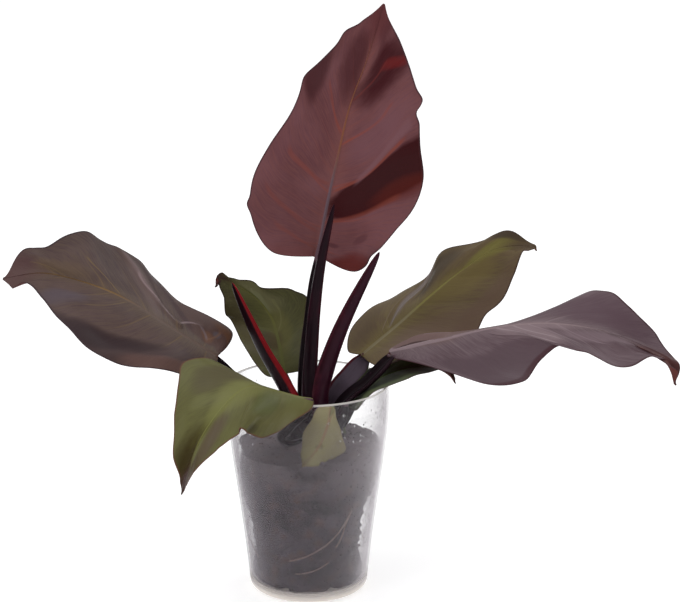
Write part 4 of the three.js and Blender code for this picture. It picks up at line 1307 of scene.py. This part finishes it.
# turns a profile that starts and ends on the axis
def turn(name, profile, around, smoothBelow=60):
    ring = np.array([p for p in profile if p[0] > 1e-6])
    angles = np.arange(around) / around * math.tau
    spin = np.stack([np.cos(angles), np.sin(angles)], axis=1)
    points = [(p[0] * c, p[0] * s, p[1]) for p in ring for c, s in spin]
    count = len(points)
    points += [(0, 0, profile[0][1]), (0, 0, profile[-1][1])]
    faces = gridFaces(len(ring), around, closed=True)
    last = (len(ring) - 1) * around
    for j in range(around):
        k = (j + 1) % around
        faces.append((k, j, count))
        faces.append((last + j, last + k, count + 1))
    return newPiece(name, np.array(points) * mm, faces, None, smoothBelow)


glassLook = {
    # the glass is painted darker on its left side and paler on its right side: painted shade and painted
    # light
    "tint": (162, 156, 163),
    "paintedLitSideTint": (222, 216, 221),
    "clear": 0.02,
    "haze": 0.03,
    "edge": 0.75,
    "edgePower": 2.4,
    # a pale line round the rim: painted highlight
    "rimHighlightShare": 0.6,
    "rimHighlightTint": (204, 199, 194),
    # a paler, denser base: painted light as if refracted through the thick glass
    "footLightShare": 0.5,
    "footLightTint": (240, 231, 223),
    "paintedLitSideFrom": (-0.05, 0.05),  # in metres, as the heights below
    "rimHighlightFrom": (0.1583, 0.1592),
    "footTo": (0.004, 0.011),
    "hazeScale": 45.0,
}


def glassMaterial():
    material, m = newMaterial("clear_glass")
    haze = m.noise(m.objectPlace(), glassLook["hazeScale"], 3.0, 0.6)
    x, _, height = m.split(m.objectPlace())
    # rim: a pale line painted as a highlight round the rim
    rim = m.between(height, *glassLook["rimHighlightFrom"])
    # foot: the base painted paler and denser, as painted light refracted through the thick glass
    foot = 1 - m.between(height, *glassLook["footTo"])
    # painted shade on the glass's left side against painted light on its right
    paintedLitSide = m.between(x, *glassLook["paintedLitSideFrom"])
    facing = m.add("ShaderNodeLayerWeight", None, {"Blend": 0.5}, "Facing")
    cover = glassLook["clear"] + glassLook["haze"] * haze
    cover = cover + rim * glassLook["rimHighlightShare"] + foot * glassLook["footLightShare"]
    tint = m.mix(paintedLitSide, paint(*glassLook["tint"]), paint(*glassLook["paintedLitSideTint"]))
    tint = m.mix(foot, tint, paint(*glassLook["footLightTint"]))
    return finishMaterial(
        material,
        m,
        {
            "Base Color": m.mix(rim, tint, paint(*glassLook["rimHighlightTint"])),
            "Roughness": 0.015 + 0.03 * haze,
            "IOR": 1.5,
            "Alpha": cover + glassLook["edge"] * facing ** glassLook["edgePower"],
        },
    )


def makePot():
    heel = pot["heelRadius"]
    corner = heel - pot["wall"]
    lip = pot["wall"] / 2
    shoulder = pot["height"] - lip
    bend = pot["floor"] + corner
    profile = [
        (0, 0),
        (18, 0),  # rings on the flat underside, which keep its faces even
        (34, 0),
        *arc((outer(heel) - heel, heel), heel, -90, 0, 10),
        *[(outer(z), z) for z in np.linspace(heel + 6, shoulder - 3, pot["rows"])],
        *arc((outer(shoulder) - lip, shoulder), lip, 0, 180, 12),
        *[(inner(z), z) for z in np.linspace(shoulder - 3, bend + 5, pot["rows"])],
        *arc((inner(bend) - corner, bend), corner, 0, -90, 8),
        (24, pot["floor"]),
        (0, pot["floor"]),
    ]
    piece = turn("pot_of_glass", profile, pot["around"])
    dress(piece, glassMaterial(), "glass", "glass_pot")


makePot()
print("pot made")

# Soil: a lumpy plug that recedes from the glass here and there
soil = {
    "level": 113,
    "mound": 5,
    "slope": 0.05,
    "sideGap": 1.7,
    "wallGap": 1.5,  # nearest the soil comes to the glass, so that no crumb pierces it
    "corner": 7,
    "rows": 110,
    "around": 220,
    "topRows": 40,
    "lumps": 0.9,
    "hollows": 3.2,
    "footGap": 0.4,  # above the glass floor
    "edgeDrop": 2,  # from the level down to the soil's edge
    "edgeRound": 1.6,
    "topReach": 0.965,
    "dryFrom": (0.08, 0.11),  # heights in metres where the soil starts to be drier, and is
    "pockets": [  # where the soil has come away from the glass
        {"angle": -6, "z": 46, "spread": 36, "tall": 40, "depth": 7.5},
        {"angle": -89, "z": 110, "spread": 17, "tall": 13, "depth": 8},
        {"angle": 186, "z": 44, "spread": 30, "tall": 30, "depth": 4},
        {"angle": 190, "z": 104, "spread": 30, "tall": 14, "depth": 4},
        {"angle": -60, "z": 10, "spread": 9, "tall": 5, "depth": 5},
        {"angle": -118, "z": 9, "spread": 8, "tall": 5, "depth": 4},
        {"angle": 75, "z": 70, "spread": 18, "tall": 20, "depth": 5},
        {"angle": 130, "z": 35, "spread": 14, "tall": 15, "depth": 5},
    ],
}

soilTones = {
    "body": (72, 63, 70),
    "second": (56, 46, 52),
    "warm": (78, 58, 54),
    "dark": (34, 28, 34),
    "pore": (22, 15, 19),
    "fleck": (128, 116, 120),
    "dry": (116, 106, 110),
}
soilGrain = {
    "patches": (26.0, 3.0, 0.6),  # scale, detail and roughness of the noise
    "clods": (95.0, 3.0, 0.6),
    "fine": (380.0, 3.0, 0.7),
    "flecks": (330.0, 2.0, 0.5),
}


def soilMaterial():
    material, m = newMaterial("potting_mix")
    tone = {key: paint(*value) for key, value in soilTones.items()}
    place = m.objectPlace()
    patches, clods, fine, flecks = [m.noise(place, *grain) for grain in soilGrain.values()]
    base = m.mix(m.between(patches, 0.38, 0.62), tone["body"], tone["second"])
    base = m.mix(m.between(clods, 0.5, 0.64) * 0.8, base, tone["warm"])
    base = m.mix(m.between(clods, 0.46, 0.34) * 0.8, base, tone["dark"])
    base = m.mix(m.between(fine, 0.52, 0.66) * 0.75, base, tone["pore"])
    base = m.mix(m.between(flecks, 0.62, 0.74) * 0.4, base, tone["fleck"])
    upper = m.between(m.split(place)[2], *soil["dryFrom"])
    base = m.mix(upper * (0.35 + 0.3 * patches), base, tone["dry"])
    bump = m.bump(fine * 0.3 + clods, 0.4, 0.001)
    return finishMaterial(material, m, {"Base Color": base, "Roughness": 0.88, "Normal": bump})


def lump(x, y, z, scale, seed):
    return noise.noise(Vector((x * scale + seed, y * scale, z * scale)))


def pocketDepth(angle, z):
    depth = 0
    for pocket in soil["pockets"]:
        aside = (angle - pocket["angle"] + 180) % 360 - 180
        reach = (aside / pocket["spread"]) ** 2 + ((z - pocket["z"]) / pocket["tall"]) ** 2
        ragged = 0.5 * noise.noise(Vector((angle * 0.25, z * 0.22, pocket["angle"])))
        depth += pocket["depth"] * max(0, min(1, 1.6 - 1.6 * (reach + ragged)))
    return depth


def makeSoil(material):
    foot = pot["floor"] + soil["footGap"]
    edge = soil["level"] - soil["edgeDrop"]
    rings = []
    angles = np.arange(soil["around"]) / soil["around"] * math.tau
    for share in np.linspace(0, 1, soil["rows"]):
        z = foot + share * (edge - foot)
        climb = min((z - foot) / soil["corner"], 1)
        rounded = soil["corner"] * (1 - math.sqrt(max(1 - (1 - climb) ** 2, 0)))
        reach = inner(z) - soil["sideGap"] - rounded
        ring = []
        for a in angles:
            x, y = reach * math.cos(a), reach * math.sin(a)
            swell = soil["lumps"] * (lump(x, y, z, 0.11, 3) + 0.5 * lump(x, y, z, 0.33, 8))
            hollow = soil["hollows"] * max(lump(x, y, z, 0.045, 21) - 0.18, 0) * 2
            r = reach + swell - hollow - pocketDepth(math.degrees(a), z)
            r = min(r, inner(z) - soil["wallGap"])
            ring.append((r * math.cos(a), r * math.sin(a), z))
        rings.append(ring)
    for share in np.linspace(1, 0.02, soil["topRows"]):
        reach = (inner(edge) - soil["sideGap"]) * (0.02 + soil["topReach"] * share)
        ring = []
        for a in angles:
            far = reach - pocketDepth(math.degrees(a), edge) * share**5
            x, y = far * math.cos(a), far * math.sin(a)
            rise = soil["edgeDrop"] + soil["mound"] * (1 - share**2) - soil["edgeRound"] * share**8
            z = edge + rise + soil["slope"] * x
            z += 1.4 * lump(x, y, 0, 0.13, 5) + 0.7 * lump(x, y, 0, 0.4, 9)
            ring.append((x, y, z))
        rings.append(ring)
    piece = loft("soil_plug", np.array(rings) * mm)
    dress(piece, material, "soil", "soil")
    return piece


soilLook = soilMaterial()
soilPiece = makeSoil(soilLook)
print("soil made")


# Geometry Nodes: scatters small grains over a carrier mesh
def scatterTree(name, material):
    tree = bpy.data.node_groups.new(name, "GeometryNodeTree")
    sockets = [
        ("Carrier", "NodeSocketGeometry"),
        ("Density", "NodeSocketFloat"),
        ("Smallest", "NodeSocketFloat"),
        ("Largest", "NodeSocketFloat"),
        ("Flatness", "NodeSocketFloat"),
        ("Detail", "NodeSocketInt"),
        ("Seed", "NodeSocketInt"),
    ]
    for label, kind in sockets:
        tree.interface.new_socket(name=label, in_out="INPUT", socket_type=kind)
    tree.interface.new_socket(name="Grains", in_out="OUTPUT", socket_type="NodeSocketGeometry")
    g = Maker(tree)
    start = tree.nodes.new("NodeGroupInput")
    given = {label: Value(g, start.outputs[label]) for label, _ in sockets}
    points = tree.nodes.new("GeometryNodeDistributePointsOnFaces")
    for key, label in (("Mesh", "Carrier"), ("Density", "Density"), ("Seed", "Seed")):
        tree.links.new(given[label].socket, points.inputs[key])
    grain = g.add("GeometryNodeMeshIcoSphere", None, {"Radius": 1.0, "Subdivisions": given["Detail"]})
    size = g.add(
        "FunctionNodeRandomValue",
        {"data_type": "FLOAT"},
        {2: given["Smallest"], 3: given["Largest"], "Seed": given["Seed"]},
        1,
    )
    stretch = g.add("FunctionNodeRandomValue", {"data_type": "FLOAT"}, {2: 0.7, 3: 1.3, "Seed": 7}, 1)
    scale = g.join(size, size * stretch, size * given["Flatness"])
    turned = g.add(
        "FunctionNodeRandomValue",
        {"data_type": "FLOAT_VECTOR"},
        {0: (-0.35, -0.35, -3.14), 1: (0.35, 0.35, 3.14), "Seed": 11},
    )
    faced = g.add(
        "FunctionNodeRotateRotation",
        {"rotation_space": "LOCAL"},
        {0: Value(g, points.outputs["Rotation"]), 1: turned},
    )
    spread = {"Points": Value(g, points.outputs["Points"]), "Instance": grain}
    spread.update({"Rotation": faced, "Scale": scale})
    placed = g.add("GeometryNodeInstanceOnPoints", None, spread)
    real = g.add("GeometryNodeRealizeInstances", None, {"Geometry": placed})
    painted = g.add("GeometryNodeSetMaterial", None, {"Geometry": real, "Material": material})
    end = tree.nodes.new("NodeGroupOutput")
    tree.links.new(painted.socket, end.inputs["Grains"])
    return tree


# runs a tree on a carrier mesh and keeps the result as a plain mesh
def scatter(name, carrier, tree, values):
    piece = bpy.data.objects.new(name, carrier.copy())
    bpy.context.scene.collection.objects.link(piece)
    modifier = piece.modifiers.new("scatter", "NODES")
    modifier.node_group = tree
    ids = {item.name: item.identifier for item in tree.interface.items_tree if item.in_out == "INPUT"}
    for key, value in values.items():
        modifier[ids[key]] = value
    bpy.context.view_layer.update()
    ready = piece.evaluated_get(bpy.context.evaluated_depsgraph_get())
    mesh = bpy.data.meshes.new_from_object(ready)
    piece.modifiers.clear()
    piece.data = mesh
    mesh.shade_smooth()
    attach(piece, "root")
    print(name, len(mesh.polygons), "faces")
    return piece


# a strip of the pot's inner wall, facing the axis, between two heights and two angles
def wallStrip(name, low, high, start, end, inset, columns=60, rows=8):
    points = []
    for z in np.linspace(low, high, rows):
        for a in np.radians(np.linspace(start, end, columns)):
            r = inner(z) - inset
            points.append((r * math.cos(a) * mm, r * math.sin(a) * mm, z * mm))
    mesh = bpy.data.meshes.new(name)
    mesh.from_pydata(points, [], gridFaces(rows, columns, flip=True))
    return mesh


crumbTree = scatterTree("crumbs", soilLook)
crumbs = {
    "Density": 42000.0,  # crumbs in each square metre
    "Smallest": 0.0004,  # radius in metres
    "Largest": 0.0013,
    "Flatness": 0.7,
    "Detail": 1,
    "Seed": 4,
}
scatter("soil_crumbs", soilPiece.data, crumbTree, crumbs)


def dropMaterial():
    material, m = newMaterial("water_drops")
    cloud = m.noise(m.objectPlace(), 300.0, 2.0)
    return finishMaterial(
        material,
        m,
        {
            "Base Color": paint(252, 253, 253),
            "Roughness": 0.02 + 0.05 * cloud,
            "IOR": 1.33,
            "Transmission Weight": 1.0,
        },
    )


# Film of damp and soil dust inside the glass
film = {
    "low": 9,
    "high": 146,
    "outside": 0.12,  # below the glass
    "inside": 0.24,
    "sideShare": 0.42,
    "overall": 0.02,
    "sideReach": (0.008, 0.034),  # in metres from the plane through the pot's axis, both sides
    "patch": (0.44, 0.56),
    "cloudScale": 70.0,
    "fineScale": 420.0,
    "tones": [(214, 208, 215), (196, 188, 196)],
    "rows": 40,
    "around": 120,
}


def filmMaterial():
    material, m = newMaterial("damp_film")
    place = m.objectPlace()
    clouds = m.noise(place, film["cloudScale"], 4.0, 0.65)
    fine = m.noise(place, film["fineScale"], 3.0, 0.7)
    side = 1 - m.between(abs(m.split(place)[1]), *film["sideReach"])
    patches = m.between(clouds * 0.5 + fine * 0.5, *film["patch"])
    cover = film["overall"] + side * film["sideShare"] * patches
    tone = m.mix(fine, *[paint(*tone) for tone in film["tones"]])
    return finishMaterial(material, m, {"Base Color": tone, "Roughness": 0.7, "Alpha": cover})


def makeFilm():
    around = film["around"]
    heights = np.linspace(film["low"], film["high"], film["rows"])
    wall = [(inner(z) - film["outside"], z) for z in heights]
    wall += [(inner(z) - film["inside"], z) for z in heights[::-1]]
    angles = np.arange(around) / around * math.tau
    points = [(r * math.cos(a), r * math.sin(a), z) for r, z in wall for a in angles]
    faces = gridFaces(len(wall), around, closed=True)
    last = (len(wall) - 1) * around
    faces += [(last + j, last + (j + 1) % around, (j + 1) % around, j) for j in range(around)]
    piece = newPiece("damp_film", np.array(points) * mm, faces)
    dress(piece, filmMaterial(), "glass")


makeFilm()

dropTree = scatterTree("drops", dropMaterial())
drops = {
    "Smallest": 0.0003,
    "Largest": 0.0011,
    "Flatness": 0.5,
    "Detail": 2,
}
# parts of the wall that carry drops: heights in mm, angles in degrees
dropStrips = [
    {"name": "right", "z": (112, 150), "angles": (-75, 15), "density": 22000.0, "seed": 9},
    {"name": "left", "z": (96, 140), "angles": (165, 232), "density": 16000.0, "seed": 12},
    {"name": "back", "z": (112, 154), "angles": (40, 160), "density": 9000.0, "seed": 15},
    {"name": "low_right", "z": (20, 108), "angles": (-28, 24), "density": 7000.0, "seed": 18},
    {"name": "low_left", "z": (20, 96), "angles": (160, 206), "density": 7000.0, "seed": 21},
]
for band in dropStrips:
    strip = wallStrip("strip_" + band["name"], *band["z"], *band["angles"], film["inside"] + 0.02)
    values = {**drops, "Density": band["density"], "Seed": band["seed"]}
    scatter("water_drops_" + band["name"], strip, dropTree, values)

grimeTree = scatterTree("grime", soilLook)
grime = {
    "Density": 9000.0,
    "Smallest": 0.0003,
    "Largest": 0.0009,
    "Flatness": 0.35,
    "Detail": 1,
    "Seed": 23,
}
strip = wallStrip("grime_strip", 12, 118, 0, 360, 0.15, 120, 24)
scatter("grime_on_glass", strip, grimeTree, grime)

# Roots that show against the glass, each a row of (angle, height) round the pot
roots = {
    "thickness": 0.45,
    "paths": [
        [(-108, 34), (-100, 36), (-88, 40), (-72, 48), (-60, 58), (-50, 72)],
        [(-102, 24), (-92, 25), (-80, 28), (-70, 33)],
        [(-64, 44), (-58, 52), (-55, 62), (-50, 70)],
        [(20, 30), (45, 40), (70, 44), (95, 60)],
        [(140, 70), (160, 50), (190, 44), (215, 30)],
    ],
    "steps": 60,
    "tones": [(132, 108, 100), (96, 78, 76)],
}


def rootMaterial():
    material, m = newMaterial("pale_root")
    patches = m.noise(m.objectPlace(), 200.0, 3.0)
    base = m.mix(patches, *[paint(*tone) for tone in roots["tones"]])
    bump = m.bump(patches, 0.3, 0.0005)
    return finishMaterial(material, m, {"Base Color": base, "Roughness": 0.6, "Normal": bump})


# Geometry Nodes: a round tube along an edge path
def tubeTree(name, material):
    tree = bpy.data.node_groups.new(name, "GeometryNodeTree")
    tree.interface.new_socket(name="Path", in_out="INPUT", socket_type="NodeSocketGeometry")
    tree.interface.new_socket(name="Radius", in_out="INPUT", socket_type="NodeSocketFloat")
    tree.interface.new_socket(name="Tube", in_out="OUTPUT", socket_type="NodeSocketGeometry")
    g = Maker(tree)
    start = tree.nodes.new("NodeGroupInput")
    line = g.add("GeometryNodeMeshToCurve", None, {"Mesh": Value(g, start.outputs["Path"])})
    ring = g.add(
        "GeometryNodeCurvePrimitiveCircle",
        None,
        {"Resolution": 8, "Radius": Value(g, start.outputs["Radius"])},
    )
    tube = g.add(
        "GeometryNodeCurveToMesh", None, {"Curve": line, "Profile Curve": ring, "Fill Caps": True}
    )
    real = g.add("GeometryNodeRealizeInstances", None, {"Geometry": tube})
    painted = g.add("GeometryNodeSetMaterial", None, {"Geometry": real, "Material": material})
    end = tree.nodes.new("NodeGroupOutput")
    tree.links.new(painted.socket, end.inputs["Tube"])
    return tree


def makeRoots():
    points, edges = [], []
    for path in roots["paths"]:
        line = through(path, np.linspace(0, 1, roots["steps"]))
        start = len(points)
        for angle, z in line:
            a = math.radians(angle)
            r = inner(z) - roots["thickness"] * 1.9 + 0.15 * math.sin(angle)
            points.append((r * math.cos(a) * mm, r * math.sin(a) * mm, z * mm))
        edges += [(start + i, start + i + 1) for i in range(len(line) - 1)]
    mesh = bpy.data.meshes.new("root_paths")
    mesh.from_pydata(points, edges, [])
    tree = tubeTree("root_tube", rootMaterial())
    scatter("fine_roots", mesh, tree, {"Radius": roots["thickness"] * mm})


makeRoots()

# Floor and light
studio = {
    "floorSize": 30.0,
    "floorGap": 0.2,  # below the pot's base
    "floorTones": [(214, 214, 215), (218, 218, 219)],
    "floorGlow": 0.5,
    "horizonLight": 0.25,
    "overheadLight": 1.05,
    "aim": (0, 0, 0.2),
    "keySize": 1.6,
    "keyPlace": (-1.4, -0.9, 2.2),
    "keyPower": 22.0,
    "rimSize": 1.2,
    "rimPlace": (1.5, 1.2, 1.6),
    "rimPower": 8.0,
}


def makeStudio():
    half = studio["floorSize"] / 2
    mesh = bpy.data.meshes.new("floor")
    z = -studio["floorGap"] * mm
    corners = [(-half, -half, z), (half, -half, z), (half, half, z), (-half, half, z)]
    mesh.from_pydata(corners, [], [(0, 1, 2, 3)])
    floor = bpy.data.objects.new("floor", mesh)
    bpy.context.scene.collection.objects.link(floor)
    material, m = newMaterial("floor")
    grain = m.noise(m.objectPlace(), 3.0, 2.0)
    tone = m.mix(grain, *[paint(*tone) for tone in studio["floorTones"]])
    glow = {"Emission Color": (1, 1, 1, 1), "Emission Strength": studio["floorGlow"]}
    finishMaterial(material, m, {"Base Color": tone, "Roughness": 0.9, **glow})
    mesh.materials.append(material)
    for label in ("key", "rim"):
        data = bpy.data.lights.new(label, "AREA")
        data.size = studio[label + "Size"]
        data.energy = studio[label + "Power"]
        lamp = bpy.data.objects.new(label, data)
        lamp.location = studio[label + "Place"]
        aim = Vector(studio["aim"]) - lamp.location
        lamp.rotation_euler = aim.to_track_quat("-Z", "Y").to_euler()
        bpy.context.scene.collection.objects.link(lamp)
    world = bpy.data.worlds.new("studio")
    world.use_nodes = True
    world.node_tree.nodes.clear()
    w = Maker(world.node_tree)
    height = w.split(w.add("ShaderNodeTexCoord", None, None, "Generated"))[2]
    light = w.between(height, 0.0, 1.0, studio["horizonLight"], studio["overheadLight"])
    sky = w.add("ShaderNodeBackground", None, {"Color": (1, 1, 1, 1), "Strength": light})
    w.add("ShaderNodeOutputWorld", None, {"Surface": sky})
    bpy.context.scene.world = world
    bpy.context.scene.view_settings.view_transform = "Standard"


makeStudio()
print("studio made")
